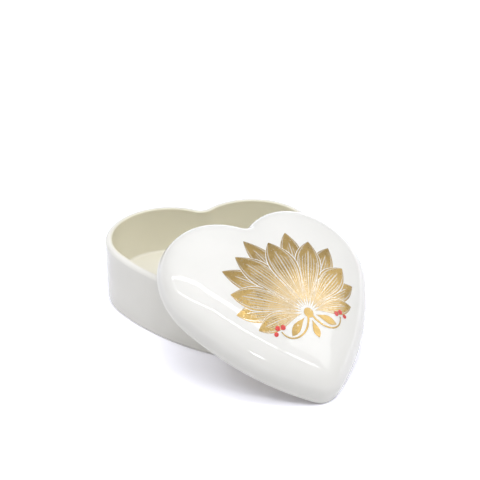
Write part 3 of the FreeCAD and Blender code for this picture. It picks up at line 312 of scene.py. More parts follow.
def heart_outline(offset=0.0, scale=1.0):
    """Points of the heart, pushed out by the offset and then drawn in towards the crown."""
    heart, lid = settings().heart, settings().lid
    lobe_radius = (heart.lobe_radius + offset) * scale
    notch_radius = (heart.notch_radius - offset) * scale + lid.valley_fade * (1 - scale) ** lid.valley_power
    point_radius = (heart.point_radius + offset) * scale
    side_radius = (heart.side_radius + offset) * scale
    lobe_line = lid.dome_centre * (scale - 1)
    lobe = Vector((heart.lobe_offset * scale, lobe_line))
    point = Vector((0, lobe_line - heart.point_reach * scale))
    reach = lobe_radius + notch_radius
    notch = Vector((0, lobe_line + math.sqrt(reach**2 - lobe.x**2)))
    side = far_meeting(lobe, side_radius - lobe_radius, point, side_radius - point_radius)
    other_lobe, other_side = Vector((-lobe.x, lobe.y)), Vector((-side.x, side.y))
    to_lobe, to_point, to_notch = heading(lobe - side), heading(point - side), heading(notch - lobe)
    half_turn = math.pi
    outline = arc(lobe, lobe_radius, to_lobe, to_notch, LOBE_STEPS)
    outline += arc(notch, notch_radius, to_notch - half_turn, -to_notch, NOTCH_STEPS)
    outline += arc(other_lobe, lobe_radius, half_turn - to_notch, half_turn - to_lobe, LOBE_STEPS)
    outline += arc(other_side, side_radius, half_turn - to_lobe, half_turn - to_point, SIDE_STEPS)
    outline += arc(point, point_radius, half_turn - to_point, 2 * half_turn + to_point, POINT_STEPS)
    outline += arc(side, side_radius, to_point, to_lobe, SIDE_STEPS)
    return outline


def lid_matrix():
    """Place of the lid's own frame, from the lines that its drum and cylinder turn about."""
    joints = {joint["name"]: joint for joint in frame["joints"]}
    up = Vector(joints["barrel_turn"]["axis"]).normalized()
    along = Vector(joints["cylinder_turn"]["axis"]).normalized()
    turn = Matrix((along.cross(up), along, up)).transposed()
    origin = Vector(joints["barrel_turn"]["pos_m"]) - turn @ DRUM_FOOT
    return Matrix.Translation(origin) @ turn.to_4x4()


def start_piece(name, add, **how):
    """Add a primitive with nothing else selected."""
    bpy.ops.object.select_all(action="DESELECT")
    add(**how)
    piece = bpy.context.object
    piece.name = name
    piece.data.name = name
    return piece


def select_only(piece, kind, wanted):
    """Select, in edit mode, only the edges or the faces that the test takes."""
    bpy.ops.mesh.select_mode(type=kind)
    bpy.ops.mesh.select_all(action="DESELECT")
    mesh = bmesh.from_edit_mesh(piece.data)
    for item in mesh.edges if kind == "EDGE" else mesh.faces:
        item.select_set(wanted(item))
    bmesh.update_edit_mesh(piece.data)


def corner_at(height):
    """Test for an edge that lies at a height with a corner along it."""

    def wanted(edge):
        level = all(abs(vertex.co.z - height) < LEVEL_TOLERANCE for vertex in edge.verts)
        return level and edge.calc_face_angle(0) > CORNER_ANGLE

    return wanted


def face_at(height):
    """Test for a face that lies flat at a height."""
    return lambda face: all(abs(vertex.co.z - height) < LEVEL_TOLERANCE for vertex in face.verts)


def raise_faces(height):
    """Extrude the selected faces straight up."""
    bpy.ops.mesh.extrude_region_move(TRANSFORM_OT_translate={"value": (0, 0, height)})


def round_level(piece, height, radius):
    """Round the edges that lie at a height."""
    select_only(piece, "EDGE", corner_at(height))
    bpy.ops.mesh.bevel(offset=radius, segments=ROUND_STEPS, affect="EDGES", clamp_overlap=False)


def close_and_smooth():
    """Merge the active piece's doubles, turn its faces outwards and shade it smooth."""
    bpy.ops.object.mode_set(mode="EDIT")
    bpy.ops.mesh.select_all(action="SELECT")
    bpy.ops.mesh.remove_doubles(threshold=MERGE_DISTANCE)
    bpy.ops.mesh.normals_make_consistent(inside=False)
    bpy.ops.object.mode_set(mode="OBJECT")
    bpy.ops.object.shade_smooth_by_angle(angle=SMOOTH_ANGLE)


def apply_modifier(kind, **how):
    """Add a modifier to the active piece, set it up and apply it."""
    bpy.ops.object.modifier_add(type=kind)
    modifier = bpy.context.object.modifiers[-1]
    for name, value in how.items():
        setattr(modifier, name, value)
    bpy.ops.object.modifier_apply(modifier=modifier.name)


def wrap_grid(name, rings):
    """A closed skin through rings of equal count, from one end point to the other."""
    around = len(rings[0])
    piece = start_piece(
        name, bpy.ops.mesh.primitive_grid_add, x_subdivisions=around, y_subdivisions=len(rings) - 1,
    )
    for index, vertex in enumerate(piece.data.vertices):
        ring, step = divmod(index, around + 1)
        vertex.co = rings[ring][step % around]
    close_and_smooth()
    return piece


def place_in_lid(piece):
    """Carry a piece from the lid's own frame to where the lid lies."""
    piece.matrix_world = lid_matrix()
    bpy.ops.object.transform_apply(location=True, rotation=True, scale=True)


def ring(outline, height):
    return [Vector((spot.x, spot.y, height)) for spot in outline]


def dome_rings(offset, spring_line, crown):
    """Rings of a dome from its crown down to its spring line."""
    lid = settings().lid
    rings = []
    for step in range(DOME_RINGS + 1):
        turn = math.pi / 2 * (1 - step / DOME_RINGS)
        height = spring_line + (crown - spring_line) * math.sin(turn) ** (2 / lid.rise_power)
        scale = max(math.cos(turn), 0) ** (2 / lid.plan_power)
        if step == 0:
            rings.append([Vector((0, -lid.dome_centre, height))] * len(heart_outline()))
        else:
            rings.append(ring(heart_outline(offset, scale), height))
    return rings


def rounded_foot(outer, inner, radius):
    """Rings round the lower edge of a skirt, from its outside to its inside."""
    quarter = [math.pi / 2 * (step / ROUND_STEPS) for step in range(ROUND_STEPS + 1)]
    rings = []
    for edge, inwards, turns in ((outer, -radius, quarter), (inner, radius, reversed(quarter))):
        for turn in turns:
            offset = edge + inwards * (1 - math.cos(turn))
            rings.append(ring(heart_outline(offset), radius * (1 - math.sin(turn))))
    return rings


class Finish:
    """Short way to write the nodes of one material."""

    def __init__(self, name):
        self.material = bpy.data.materials.new(name)
        self.material.use_nodes = True
        self.tree = self.material.node_tree
        self.shader = self.tree.nodes["Principled BSDF"]
        self.place = self.add("ShaderNodeTexCoord").outputs["Object"]

    def add(self, kind, **how):
        node = self.tree.nodes.new(kind)
        for name, value in how.items():
            setattr(node, name, value)
        return node

    def put(self, value, socket):
        """Link an output to a socket, or set the socket's own value."""
        if isinstance(value, bpy.types.NodeSocket):
            self.tree.links.new(value, socket)
        else:
            socket.default_value = value

    def set(self, **sockets):
        for name, value in sockets.items():
            self.put(value, self.shader.inputs[name.replace("_", " ")])

    def noise(self, scale, detail=3.0, roughness=0.5, place=None):
        node = self.add("ShaderNodeTexNoise")
        self.put(place or self.place, node.inputs["Vector"])
        self.put(scale, node.inputs["Scale"])
        self.put(detail, node.inputs["Detail"])
        self.put(roughness, node.inputs["Roughness"])
        return node.outputs["Fac"]

    def math(self, operation, first, second=0.0):
        node = self.add("ShaderNodeMath", operation=operation)
        self.put(first, node.inputs[0])
        self.put(second, node.inputs[1])
        return node.outputs["Value"]

    def span(self, value, low, high, to_low=0.0, to_high=1.0, smooth=False):
        """Map one range onto another, held at its ends."""
        node = self.add("ShaderNodeMapRange", clamp=True)
        node.interpolation_type = "SMOOTHSTEP" if smooth else "LINEAR"
        for index, number in enumerate((value, low, high, to_low, to_high)):
            self.put(number, node.inputs[index])
        return node.outputs["Result"]

    def mix(self, share, first, second):
        """Blend two colours."""
        node = self.add("ShaderNodeMix", data_type="RGBA")
        self.put(share, node.inputs[0])
        self.put(as_rgba(first), node.inputs[MIX_FIRST])
        self.put(as_rgba(second), node.inputs[MIX_SECOND])
        return node.outputs[MIX_RESULT]

    def bump(self, height, strength, distance, under=None):
        node = self.add("ShaderNodeBump")
        self.put(strength, node.inputs["Strength"])
        self.put(distance, node.inputs["Distance"])
        self.put(height, node.inputs["Height"])
        if under:
            self.put(under, node.inputs["Normal"])
        return node.outputs["Normal"]


def as_rgba(colour):
    if isinstance(colour, bpy.types.NodeSocket):
        return colour
    return (*colour, 1.0)


def shade(colour, factor):
    return tuple(channel * factor for channel in colour)


def glaze(name, colour, bare_share, tint_share=None):
    """Glossy fired glaze, faintly clouded, pinholed and rippled, with shares for bisque and cream, the cream
    partly painted shade.
    """
    finish = Finish(name)
    finishes = settings().finishes
    clouds = finish.span(finish.noise(scale=45, detail=4), low=0.35, high=0.7)
    tone = finish.mix(clouds, colour, shade(colour, 0.975))
    pinholes = finish.span(finish.noise(scale=1500, detail=1), low=0.78, high=0.82, to_high=0.25)
    tone = finish.mix(pinholes, tone, finishes.pinhole)
    smear = finish.span(finish.noise(scale=160, detail=5), low=0.3, high=0.75, to_low=0.03, to_high=0.07)
    # Cream tint inside the bowl, partly glaze tone and partly painted shade
    if tint_share:
        inside = tint_share(finish)
        tone = finish.mix(inside, tone, finishes.bowl_cream_and_shade)
        smear = finish.math("ADD", smear, finish.math("MULTIPLY", inside, finishes.bowl_dullness))
    ripple = finish.bump(finish.noise(scale=70, detail=2), strength=0.12, distance=0.6 * MM)
    peel = finish.bump(finish.noise(scale=900, detail=2), strength=0.05, distance=0.06 * MM, under=ripple)
    bare = bare_share(finish)
    tone = finish.mix(bare, tone, finishes.bisque)
    smear = finish.math("MAXIMUM", smear, finish.math("MULTIPLY", bare, finishes.bisque_dullness))
    finish.set(Base_Color=tone, Roughness=smear, Normal=peel, IOR=GLAZE_IOR)
    return finish.material


def wavering_edge(finish, height, waver, low, high):
    """One below an uneven line across a height, and none above it."""
    uneven = finish.math("MULTIPLY", finish.noise(scale=220), waver)
    return finish.span(finish.math("ADD", height, uneven), low, high, to_low=1, to_high=0)


def bare_foot(finish):
    """Bare where the foot ring was wiped, just above the table."""
    height = finish.add("ShaderNodeSeparateXYZ")
    finish.put(finish.place, height.inputs[0])
    return wavering_edge(finish, height.outputs["Z"], waver=0.6 * MM, low=0.8 * MM, high=1.0 * MM)


def cream_and_shade_inside(finish):
    """Share of the cream tint inside the bowl: partly the glaze's own tone, partly painted shade."""
    return finish.add("ShaderNodeAttribute", attribute_name="inside").outputs["Fac"]


def lid_height(finish):
    """Height of a point above the lid's rim plane."""
    matrix = lid_matrix()
    up = matrix.to_3x3() @ Vector((0, 0, 1))
    node = finish.add("ShaderNodeVectorMath", operation="DOT_PRODUCT")
    finish.put(finish.place, node.inputs[0])
    finish.put(up, node.inputs[1])
    return finish.math("SUBTRACT", node.outputs["Value"], matrix.translation.dot(up))


def bare_skirt(finish):
    """Bare along the skirt's lower edge, where the lid stood in the kiln."""
    return wavering_edge(finish, lid_height(finish), waver=0.3 * MM, low=0.15 * MM, high=0.2 * MM)


def gilding(name, veined=False):
    """Burnished gold, cloudy and a little rubbed, with the white glaze left as lines in a petal."""
    finish = Finish(name)
    finishes = settings().finishes
    clouds = finish.span(finish.noise(scale=90, detail=4), low=0.3, high=0.7)
    tone = finish.mix(clouds, finishes.gold, shade(finishes.gold, 0.72))
    bare = finish.span(finish.noise(scale=900, detail=4), low=0.62, high=0.72, to_high=0.5)
    if veined:
        bare = finish.math("MAXIMUM", bare, petal_lines(finish))
    smear = finish.span(finish.noise(scale=400), low=0.3, high=0.7, to_low=0.24, to_high=0.36)
    finish.set(
        Base_Color=finish.mix(bare, tone, finishes.lid_glaze),
        Metallic=finish.math("SUBTRACT", 1, bare),
        Roughness=finish.math("MULTIPLY", smear, finish.span(bare, low=0, high=1, to_low=1, to_high=0.4)),
        Normal=finish.bump(finish.noise(scale=1400, detail=2), strength=0.15, distance=0.05 * MM),
    )
    return finish.material


def petal_lines(finish):
    """Share of white in a petal: all of it along the edge, less in a line inside that and in fine veins."""
    parts = finish.add("ShaderNodeSeparateXYZ")
    finish.put(finish.add("ShaderNodeUVMap").outputs["UV"], parts.inputs[0])
    along = parts.outputs["Y"]
    from_middle = finish.math("ABSOLUTE", finish.math("SUBTRACT", parts.outputs["X"], 0.5))
    across = finish.math("MULTIPLY", from_middle, 2)
    edge = finish.span(across, low=0.92, high=0.95)
    from_line = finish.math("ABSOLUTE", finish.math("SUBTRACT", across, 0.76))
    line = finish.span(from_line, low=0.03, high=0.06, to_low=1, to_high=0)
    from_vein = finish.math("FRACT", finish.math("MULTIPLY", across, VEINS))
    veins = finish.span(from_vein, low=0.22, high=0.32, to_low=1, to_high=0)
    middle = finish.span(across, low=0.66, high=0.68, to_low=1, to_high=0)
    reach = finish.math("ADD", along, finish.math("MULTIPLY", across, 0.25))
    before_end = finish.span(reach, low=0.82, high=0.86, to_low=1, to_high=0)
    veins = finish.math("MULTIPLY", finish.math("MULTIPLY", veins, middle), before_end)
    thin = finish.math("MULTIPLY", finish.math("MAXIMUM", line, veins), 0.55)
    return finish.math("MAXIMUM", edge, thin)


def enamel(name, colour):
    """Glossy fired enamel with slightly uneven depth."""
    finish = Finish(name)
    tone = finish.mix(finish.span(finish.noise(scale=700), low=0.35, high=0.65), colour, shade(colour, 0.7))
    smear = finish.span(finish.noise(scale=1500, detail=2), low=0.3, high=0.7, to_low=0.1, to_high=0.2)
    uneven = finish.bump(finish.noise(scale=900, detail=2), strength=0.1, distance=0.05 * MM)
    finish.set(Base_Color=tone, Roughness=smear, Normal=uneven)
    return finish.material


def along_lid(finish, stretch):
    """Object coordinates turned into the lid's own frame and stretched along its axes."""
    place, turn, _ = lid_matrix().decompose()
    node = finish.add("ShaderNodeMapping", vector_type="TEXTURE")
    finish.put(finish.place, node.inputs["Vector"])
    finish.put(place, node.inputs["Location"])
    finish.put(turn.to_euler(), node.inputs["Rotation"])
    finish.put(stretch, node.inputs["Scale"])
    return node.outputs["Vector"]


def metal(name, colour, roughness, tarnish, stretch):
    """Worked metal: fine tool lines across the stretch, clouded tarnish and small scuffs."""
    finish = Finish(name)
    lines = finish.noise(scale=2600, detail=2, roughness=0.6, place=along_lid(finish, stretch))
    clouds = finish.span(finish.noise(scale=140, detail=5), low=0.35, high=0.7)
    tone = finish.mix(clouds, colour, tarnish)
    tone = finish.mix(finish.span(lines, low=0.45, high=0.75, to_high=0.35), tone, shade(colour, 0.7))
    scuffs = finish.span(lines, low=0.3, high=0.7, to_high=0.1)
    dull = finish.math("ADD", scuffs, finish.math("MULTIPLY", clouds, 0.08))
    finish.set(
        Base_Color=tone, Metallic=1, Roughness=finish.math("ADD", dull, roughness),
        Normal=finish.bump(lines, strength=0.12, distance=0.02 * MM),
    )
    return finish.material


def moulded(name, colour, roughness, grain):
    """Moulded plastic: fine grain, faint flow marks and dust in random patches."""
    finish = Finish(name)
    flow = finish.noise(scale=60, place=along_lid(finish, FLOWED))
    tone = finish.mix(finish.span(flow, low=0.35, high=0.7), colour, shade(colour, 0.94))
    dust = finish.span(finish.noise(scale=1100, detail=4), low=0.6, high=0.8, to_high=0.25)
    tone = finish.mix(dust, tone, settings().finishes.dust)
    fine = finish.noise(scale=grain)
    smear = finish.span(fine, low=0.3, high=0.7, to_low=roughness, to_high=roughness + 0.15)
    finish.set(Base_Color=tone, Roughness=smear, Normal=finish.bump(fine, strength=0.2, distance=0.05 * MM))
    return finish.material


def once(name, make, *how):
    """The finish of that name, made the first time it is asked for."""
    return bpy.data.materials.get(name) or make(name, *how)


def metal_finishes():
    """One finish for each slot of the clockwork: colour, roughness, then tarnish and tool lines, or grain."""
    finishes = settings().finishes
    zinc, nickel, steel, gold = finishes.zinc, finishes.nickel, finishes.steel, finishes.gold
    return {
        "zinc": once("cast_zinc", metal, zinc, 0.42, shade(zinc, 0.8), CAST),
        "nickel": once("nickel_plating", metal, nickel, 0.12, shade(nickel, 0.88), TURNED),
        "brass": once("satin_brass", metal, finishes.brass, 0.24, finishes.brass_tarnish, TURNED),
        "spring_steel": once(
            "blued_steel", metal, finishes.spring_steel, 0.26, finishes.steel_tarnish, DRAWN,
        ),
        "steel": once("plain_steel", metal, steel, 0.25, shade(steel, 0.75), TURNED),
        "gilt": once("gilt_metal", metal, shade(gold, 1.35), 0.16, shade(gold, 1.05), TURNED),
        "nylon": once("white_nylon", moulded, finishes.nylon, 0.32, 1500),
        "ivory_plastic": once("moulded_ivory", moulded, finishes.plate, 0.4, 1800),
    }


def node_slots():
    """Material slot of every node of the frame."""
    return {part["node"]: part["material_slot"] for part in frame["record"]["subparts"]}


def white_to_lens(tree):
    """One for the rays that should see plain white: camera, glossy and see-through ones."""
    path = tree.nodes.new("ShaderNodeLightPath")
    total = path.outputs["Is Camera Ray"]
    for ray in ("Is Glossy Ray", "Is Transmission Ray"):
        node = tree.nodes.new("ShaderNodeMath")
        node.operation = "MAXIMUM"
        tree.links.new(total, node.inputs[0])
        tree.links.new(path.outputs[ray], node.inputs[1])
        total = node.outputs["Value"]
    return total


def floor_finish():
    """Pale paper floor that keeps the shadow and turns white in full light and far away."""
    finishes = settings().finishes
    finish = Finish("pale_floor")
    grain = finish.mix(finish.noise(scale=300), finishes.floor, shade(finishes.floor, 0.985))
    finish.set(Base_Color=grain, Roughness=0.9)
    lens = white_to_lens(finish.tree)
    from_box = finish.add("ShaderNodeVectorMath", operation="LENGTH")
    finish.put(finish.place, from_box.inputs[0])
    far = finish.span(from_box.outputs["Value"], low=200 * MM, high=500 * MM, smooth=True)
    finish.set(Emission_Color=(1, 1, 1, 1), Emission_Strength=finish.math("MULTIPLY", far, lens))
    paler = finish.add("ShaderNodeBsdfDiffuse")
    seen = finish.add("ShaderNodeMixShader")
    both = finish.add("ShaderNodeAddShader")
    finish.put(as_rgba(finishes.floor_lift), paler.inputs["Color"])
    finish.put(lens, seen.inputs["Fac"])
    finish.put(paler.outputs["BSDF"], seen.inputs[2])
    finish.put(finish.shader.outputs["BSDF"], both.inputs[0])
    finish.put(seen.outputs["Shader"], both.inputs[1])
    finish.put(both.outputs["Shader"], finish.tree.nodes["Material Output"].inputs["Surface"])
    return finish.material


class MUSICBOX_OT_bowl(bpy.types.Operator):
    """Build the open base bowl on its foot ring"""

    bl_idname = "music_box.bowl"
    bl_label = "Base bowl"

    def execute(self, context):
        sizes = settings().bowl
        outline = heart_outline()
        piece = start_piece(
            "base_body", bpy.ops.mesh.primitive_circle_add, vertices=len(outline), fill_type="NGON",
        )
        for vertex, spot in zip(piece.data.vertices, outline):
            vertex.co = (spot.x, spot.y, 0)
        bpy.ops.object.mode_set(mode="EDIT")
        bpy.ops.mesh.select_mode(type="FACE")
        bpy.ops.mesh.select_all(action="SELECT")
        raise_faces(sizes.height)
        bpy.ops.mesh.select_all(action="SELECT")
        bpy.ops.mesh.normals_make_consistent(inside=False)
        round_level(piece, sizes.height, sizes.rim_round)
        self.hollow(piece, sizes.height, sizes.wall - sizes.rim_round, sizes.floor_height - sizes.height)
        self.hollow(piece, 0, sizes.foot_width, sizes.foot_depth)
        round_level(piece, sizes.height, sizes.lip_round)
        round_level(piece, sizes.floor_height, sizes.floor_round)
        round_level(piece, 0, sizes.foot_round)
        for level in (sizes.floor_height, sizes.foot_depth):
            select_only(piece, "FACE", face_at(level))
            bpy.ops.mesh.inset(thickness=sizes.support)
        bpy.ops.object.mode_set(mode="OBJECT")
        close_and_smooth()
        apply_modifier("WEIGHTED_NORMAL", weight=PORCELAIN_WEIGHT, keep_sharp=True)
        self.mark_inside(piece, outline)
        finish = glaze("ivory_glaze", settings().finishes.base_glaze, bare_foot, cream_and_shade_inside)
        piece.data.materials.append(finish)
        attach(piece, "base")
        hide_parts("base_bowl")
        return {"FINISHED"}

    def mark_inside(self, piece, outline):
        """Note each point's share of the cream tint, which falls from the lip down to the floor: painted shade
        that darkens the upper wall and leaves the floor paler.
        """
        sizes = settings().bowl
        wall_foot = sizes.floor_height + sizes.floor_round
        wall_height = sizes.height - sizes.lip_round - wall_foot
        tree = KDTree(len(outline))
        for index, spot in enumerate(outline):
            tree.insert((spot.x, spot.y, 0), index)
        tree.balance()
        layer = piece.data.attributes.new("inside", "FLOAT", "POINT")
        for index, vertex in enumerate(piece.data.vertices):
            distance = tree.find((vertex.co.x, vertex.co.y, 0))[2]
            share = min(max((distance - sizes.wall + sizes.tint_reach) / sizes.tint_fade, 0), 1)
            climb = (vertex.co.z - wall_foot) / wall_height
            rise = (vertex.co.z - sizes.floor_height) / sizes.floor_round
            # Painted shade: fullest tint at the lip and over the rim, less at the wall's foot, least on the floor
            if vertex.co.z < sizes.floor_height - LEVEL_TOLERANCE:
                share = 0
            elif rise < 1:
                share *= sizes.floor_cream_and_shade + (sizes.wall_cream_and_shade - sizes.floor_cream_and_shade) * rise
            elif climb < 1:
                share *= sizes.wall_cream_and_shade + (1 - sizes.wall_cream_and_shade) * climb
            layer.data[index].value = share

    def hollow(self, piece, level, wall, depth):
        """Sink a pocket into the flat face at a level, leaving a wall round it."""
        select_only(piece, "FACE", face_at(level))
        bpy.ops.mesh.inset(thickness=wall)
        raise_faces(depth)


class MUSICBOX_OT_lid(bpy.types.Operator):
    """Build the domed lid shell with its skirt, ledges and hollow"""

    bl_idname = "music_box.lid"
    bl_label = "Lid shell"

    def execute(self, context):
        lid = settings().lid
        outside = lid.skirt_gap + lid.skirt_wall - lid.tuck
        ledge = lid.skirt_gap - lid.ledge_width
        hollow = ledge - lid.ledge_width
        seat_top = lid.skirt_depth + lid.plate_seat
        rings = dome_rings(outside - lid.bead, lid.skirt_round, lid.height - lid.tuck)
        rings[-1] = ring(heart_outline(outside - lid.bead), lid.bead_height)
        rings += rounded_foot(outside, lid.skirt_gap, lid.skirt_round)
        rings.append(ring(heart_outline(lid.skirt_gap), lid.skirt_depth))
        rings.append(ring(heart_outline(ledge), lid.skirt_depth))
        rings.append(ring(heart_outline(ledge), seat_top))
        rings += reversed(dome_rings(hollow, seat_top, lid.height - lid.shell_wall))
        piece = wrap_grid("lid_body", rings)
        apply_modifier("WEIGHTED_NORMAL", weight=PORCELAIN_WEIGHT, keep_sharp=True)
        place_in_lid(piece)
        piece.data.materials.append(glaze("white_glaze", settings().finishes.lid_glaze, bare_skirt))
        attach(piece, "lid")
        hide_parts("lid_shell")
        return {"FINISHED"}


class MUSICBOX_OT_gilding(bpy.types.Operator):
    """Lay the gilt lotus, its tendrils and red berries on the dome"""

    bl_idname = "music_box.gilding"
    bl_label = "Gilding"

    def execute(self, context):
        lotus = settings().lotus
        self.root = Vector((0, -lotus.root))
        petal_gold, line_gold = gilding("gilt_petal", veined=True), gilding("gilt_line")
        for level, (name, petals) in enumerate(PETAL_LAYERS):
            flat = []
            for turn, *shape in petals:
                for side in (1, -1) if turn else (1,):
                    flat.append(self.petal(side, turn, *shape))
            self.lay(name, flat, level, petal_gold)
        flat = [self.petal(1, *STEM), self.disc(self.root, lotus.boss)]
        for side in (1, -1):
            flat += [self.tendril(side), self.petal(side, *TENDRIL_LEAF)]
        self.lay("tendrils", flat, len(PETAL_LAYERS), line_gold)
        flat = []
        for across, along, radius in BERRIES:
            for side in (1, -1):
                flat.append(self.disc(Vector((across * side, along)) * MM, radius * MM))
        self.lay("berries", flat, len(PETAL_LAYERS) + 1, enamel("red_enamel", settings().finishes.berry))
        return {"FINISHED"}

    def petal(self, side, turn, reach, width, bend):
        """A flat petal, sized in mm, that widens from the root and closes in a soft point."""
        piece = self.flat_grid(PETAL_ACROSS, PETAL_ALONG)
        reach, width = reach * MM, width * MM
        way = math.radians(turn) * side
        ahead, right = Vector((math.sin(way), math.cos(way))), Vector((math.cos(way), -math.sin(way)))
        for vertex in piece.data.vertices:
            along = vertex.co.y + 0.5
            breadth = width * math.sin(math.pi * along**PETAL_SWELL) ** PETAL_POINT
            lean = bend * side * reach * along**2
            spot = self.root + ahead * (settings().lotus.start + reach * along)
            vertex.co.xy = spot + right * (vertex.co.x * breadth + lean)
        return piece

    def tendril(self, side):
        """A ribbon along a curve, tapering to its end."""
        piece = self.flat_grid(2, TENDRIL_STEPS)
        first, second, third, last = (Vector((across * side, along)) * MM for across, along in TENDRIL)
        for vertex in piece.data.vertices:
            along = vertex.co.y + 0.5
            rest = 1 - along
            spot = first * rest**3 + second * 3 * rest**2 * along
            spot += third * 3 * rest * along**2 + last * along**3
            way = (second - first) * rest**2 + (third - second) * 2 * rest * along + (last - third) * along**2
            way.normalize()
            width = settings().lotus.ribbon * (1 - TENDRIL_TAPER * along)
            vertex.co.xy = spot + Vector((way.y, -way.x)) * vertex.co.x * width
        return piece

    def flat_grid(self, across, along):
        return start_piece(
            "flat", bpy.ops.mesh.primitive_grid_add, x_subdivisions=across, y_subdivisions=along, size=1,
        )

    def disc(self, spot, radius):
        """A round spot of a few rings."""
        piece = start_piece(
            "spot", bpy.ops.mesh.primitive_circle_add, vertices=SPOT_SIDES, radius=radius, fill_type="NGON",
        )
        bpy.ops.object.mode_set(mode="EDIT")
        for width in SPOT_RINGS:
            bpy.ops.mesh.inset(thickness=radius * width)
        bpy.ops.object.mode_set(mode="OBJECT")
        for vertex in piece.data.vertices:
            vertex.co.xy += spot
        return piece

    def lay(self, name, flat_pieces, level, material):
        """Join flat pieces, lay them down on the dome and give them their thickness."""
        relief = settings().lotus.relief
        bpy.ops.object.select_all(action="DESELECT")
        for piece in flat_pieces:
            piece.select_set(True)
        piece = flat_pieces[0]
        bpy.context.view_layer.objects.active = piece
        if len(flat_pieces) > 1:
            bpy.ops.object.join()
        piece.name = piece.data.name = name
        for vertex in piece.data.vertices:
            vertex.co.z = 2 * settings().lid.height
        close_and_smooth()
        piece.matrix_world = lid_matrix()
        bpy.context.view_layer.update()
        apply_modifier(
            "SHRINKWRAP", target=bpy.data.objects["lid_body"], wrap_method="PROJECT", use_project_z=True,
            use_negative_direction=True, use_positive_direction=False, offset=relief * (level + 0.5),
        )
        apply_modifier("SOLIDIFY", thickness=relief, offset=1)
        bpy.ops.object.transform_apply(location=True, rotation=True, scale=True)
        bpy.ops.object.shade_smooth_by_angle(angle=SMOOTH_ANGLE)
        piece.data.materials.clear()
        piece.data.materials.append(material)
        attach(piece, "lid")


class MUSICBOX_OT_underside(bpy.types.Operator):
    """Finish the closing plate and what shows under it: key, screws and stop lever"""

    bl_idname = "music_box.underside"
    bl_label = "Underside"

    def execute(self, context):
        finishes = metal_finishes()
        for node, name, body, edge in UNDERSIDE:
            piece = self.refined(node, name, edge * MM)
            piece.data.materials.clear()
            piece.data.materials.append(finishes[node_slots()[node]])
            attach(piece, body)
            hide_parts(node)
        return {"FINISHED"}

    def refined(self, node, name, edge):
        """A merged copy of a node with its edges broken."""
        piece = bpy.data.objects.new(name, frame["nodes"][node].data.copy())
        piece.data.name = name
        bpy.context.collection.objects.link(piece)
        bpy.ops.object.select_all(action="DESELECT")
        piece.select_set(True)
        bpy.context.view_layer.objects.active = piece
        bpy.ops.object.mode_set(mode="EDIT")
        bpy.ops.mesh.select_all(action="SELECT")
        bpy.ops.mesh.remove_doubles(threshold=MERGE_DISTANCE)
        bpy.ops.mesh.dissolve_limited(angle_limit=FLAT_ANGLE)
        bpy.ops.object.mode_set(mode="OBJECT")
        apply_modifier(
            "BEVEL", width=edge, segments=EDGE_STEPS, limit_method="ANGLE", angle_limit=CORNER_ANGLE,
            use_clamp_overlap=True,
        )
        bpy.ops.object.shade_smooth_by_angle(angle=SMOOTH_ANGLE)
        apply_modifier("WEIGHTED_NORMAL", weight=EDGED_WEIGHT, keep_sharp=True)
        return piece


class MUSICBOX_OT_movement(bpy.types.Operator):
    """Give the clockwork inside the dome its metal and nylon finishes"""

    bl_idname = "music_box.movement"
    bl_label = "Movement"

    def execute(self, context):
        finishes = metal_finishes()
        for node, slot in node_slots().items():
            if slot in finishes:
                for place in frame["nodes"][node].material_slots:
                    place.material = finishes[slot]
        return {"FINISHED"}


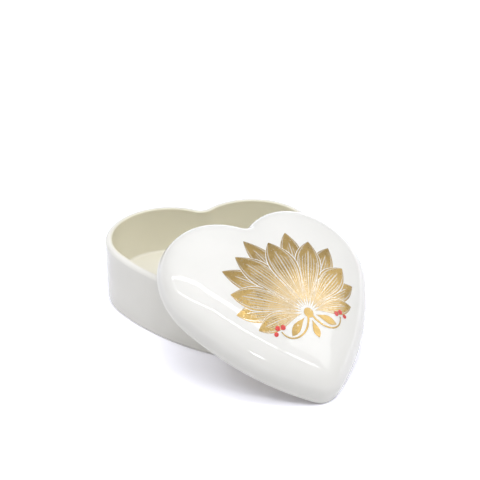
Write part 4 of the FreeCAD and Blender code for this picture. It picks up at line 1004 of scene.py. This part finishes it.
class MUSICBOX_OT_studio(bpy.types.Operator):
    """Set up the floor, the lamps, the surrounding light and the camera"""

    bl_idname = "music_box.studio"
    bl_label = "Studio"

    def execute(self, context):
        studio = settings().studio
        scene = context.scene
        floor = start_piece("floor", bpy.ops.mesh.primitive_plane_add, size=studio.floor_size)
        floor.data.materials.append(floor_finish())
        self.light_sky(scene, studio)
        self.hang_lamps(studio)
        self.stand_camera(scene, studio)
        scene.view_settings.view_transform = "Standard"
        return {"FINISHED"}

    def light_sky(self, scene, studio):
        """Even light from all round, plain white where a lens or a reflection sees it."""
        world = bpy.data.worlds.new("studio_sky")
        scene.world = world
        world.use_nodes = True
        tree = world.node_tree
        light = tree.nodes["Background"]
        light.inputs["Color"].default_value = (*studio.sky_colour, 1)
        light.inputs["Strength"].default_value = studio.sky_strength
        seen = tree.nodes.new("ShaderNodeBackground")
        choose = tree.nodes.new("ShaderNodeMixShader")
        tree.links.new(white_to_lens(tree), choose.inputs["Fac"])
        tree.links.new(light.outputs[0], choose.inputs[1])
        tree.links.new(seen.outputs[0], choose.inputs[2])
        seen.inputs["Color"].default_value = (1, 1, 1, 1)
        tree.links.new(choose.outputs[0], tree.nodes["World Output"].inputs["Surface"])

    def hang_lamps(self, studio):
        """Hang the soft boxes round the table, and the strips."""
        for name, azimuth, height, size, radiance, glossy in SOFT_BOXES:
            azimuth, height = math.radians(azimuth), math.radians(height)
            flat = math.cos(height)
            way = Vector((math.sin(azimuth) * flat, math.cos(azimuth) * flat, math.sin(height)))
            turn = (-way).to_track_quat("-Z", "Y").to_euler()
            self.hang_lamp(name, LAMP_AIM + way * studio.lamp_distance, turn, size, radiance, glossy)
        for name, start, end, width, radiance in STRIPS:
            start, end = Vector(start), Vector(end)
            middle, along = (start + end) / 2, (end - start).normalized()
            back = (middle - LAMP_AIM).normalized()
            across = back.cross(along).normalized()
            turn = Matrix((along, across, along.cross(across))).transposed().to_euler()
            self.hang_lamp(name, middle, turn, ((end - start).length, width), radiance, glossy=True)

    def hang_lamp(self, name, place, turn, size, radiance, glossy):
        """A rectangular lamp that the camera does not see."""
        bpy.ops.object.light_add(type="AREA", location=place, rotation=turn)
        lamp = bpy.context.object
        lamp.name = name
        lamp.visible_camera = False
        lamp.visible_glossy = glossy
        lamp.data.shape = "RECTANGLE"
        lamp.data.size, lamp.data.size_y = size
        lamp.data.energy = radiance * math.pi * size[0] * size[1]

    def stand_camera(self, scene, studio):
        """Stand the camera in its place and turn it to its target."""
        place, target = Vector(studio.camera_place), Vector(studio.camera_target)
        turn = (target - place).to_track_quat("-Z", "Y").to_euler()
        bpy.ops.object.camera_add(location=place, rotation=turn)
        camera = bpy.context.object
        camera.data.lens = studio.camera_lens
        camera.data.sensor_width = SENSOR_WIDTH
        scene.camera = camera


class MUSICBOX_PT_panel(bpy.types.Panel):
    """Lists the pieces of the music box"""

    bl_label = "Music Box"
    bl_idname = "MUSICBOX_PT_panel"
    bl_space_type = "VIEW_3D"
    bl_region_type = "UI"
    bl_category = "Music Box"

    def draw(self, context):
        for operator in OPERATORS:
            self.layout.operator(operator.bl_idname)


GROUPS = (HeartOutline, BowlSizes, LidSizes, GiltLotus, Finishes, Studio, MusicBoxSettings)
OPERATORS = (
    MUSICBOX_OT_bowl, MUSICBOX_OT_lid, MUSICBOX_OT_gilding, MUSICBOX_OT_underside, MUSICBOX_OT_movement,
    MUSICBOX_OT_studio,
)
CLASSES = GROUPS + OPERATORS + (MUSICBOX_PT_panel,)


def register():
    for item in CLASSES:
        bpy.utils.register_class(item)
    bpy.types.Scene.music_box = PointerProperty(type=MusicBoxSettings)


def unregister():
    del bpy.types.Scene.music_box
    for item in reversed(CLASSES):
        bpy.utils.unregister_class(item)


def main():
    register()
    bpy.ops.music_box.bowl()
    bpy.ops.music_box.lid()
    bpy.ops.music_box.gilding()
    bpy.ops.music_box.underside()
    bpy.ops.music_box.movement()
    bpy.ops.music_box.studio()


if __name__ == "__main__":
    main()
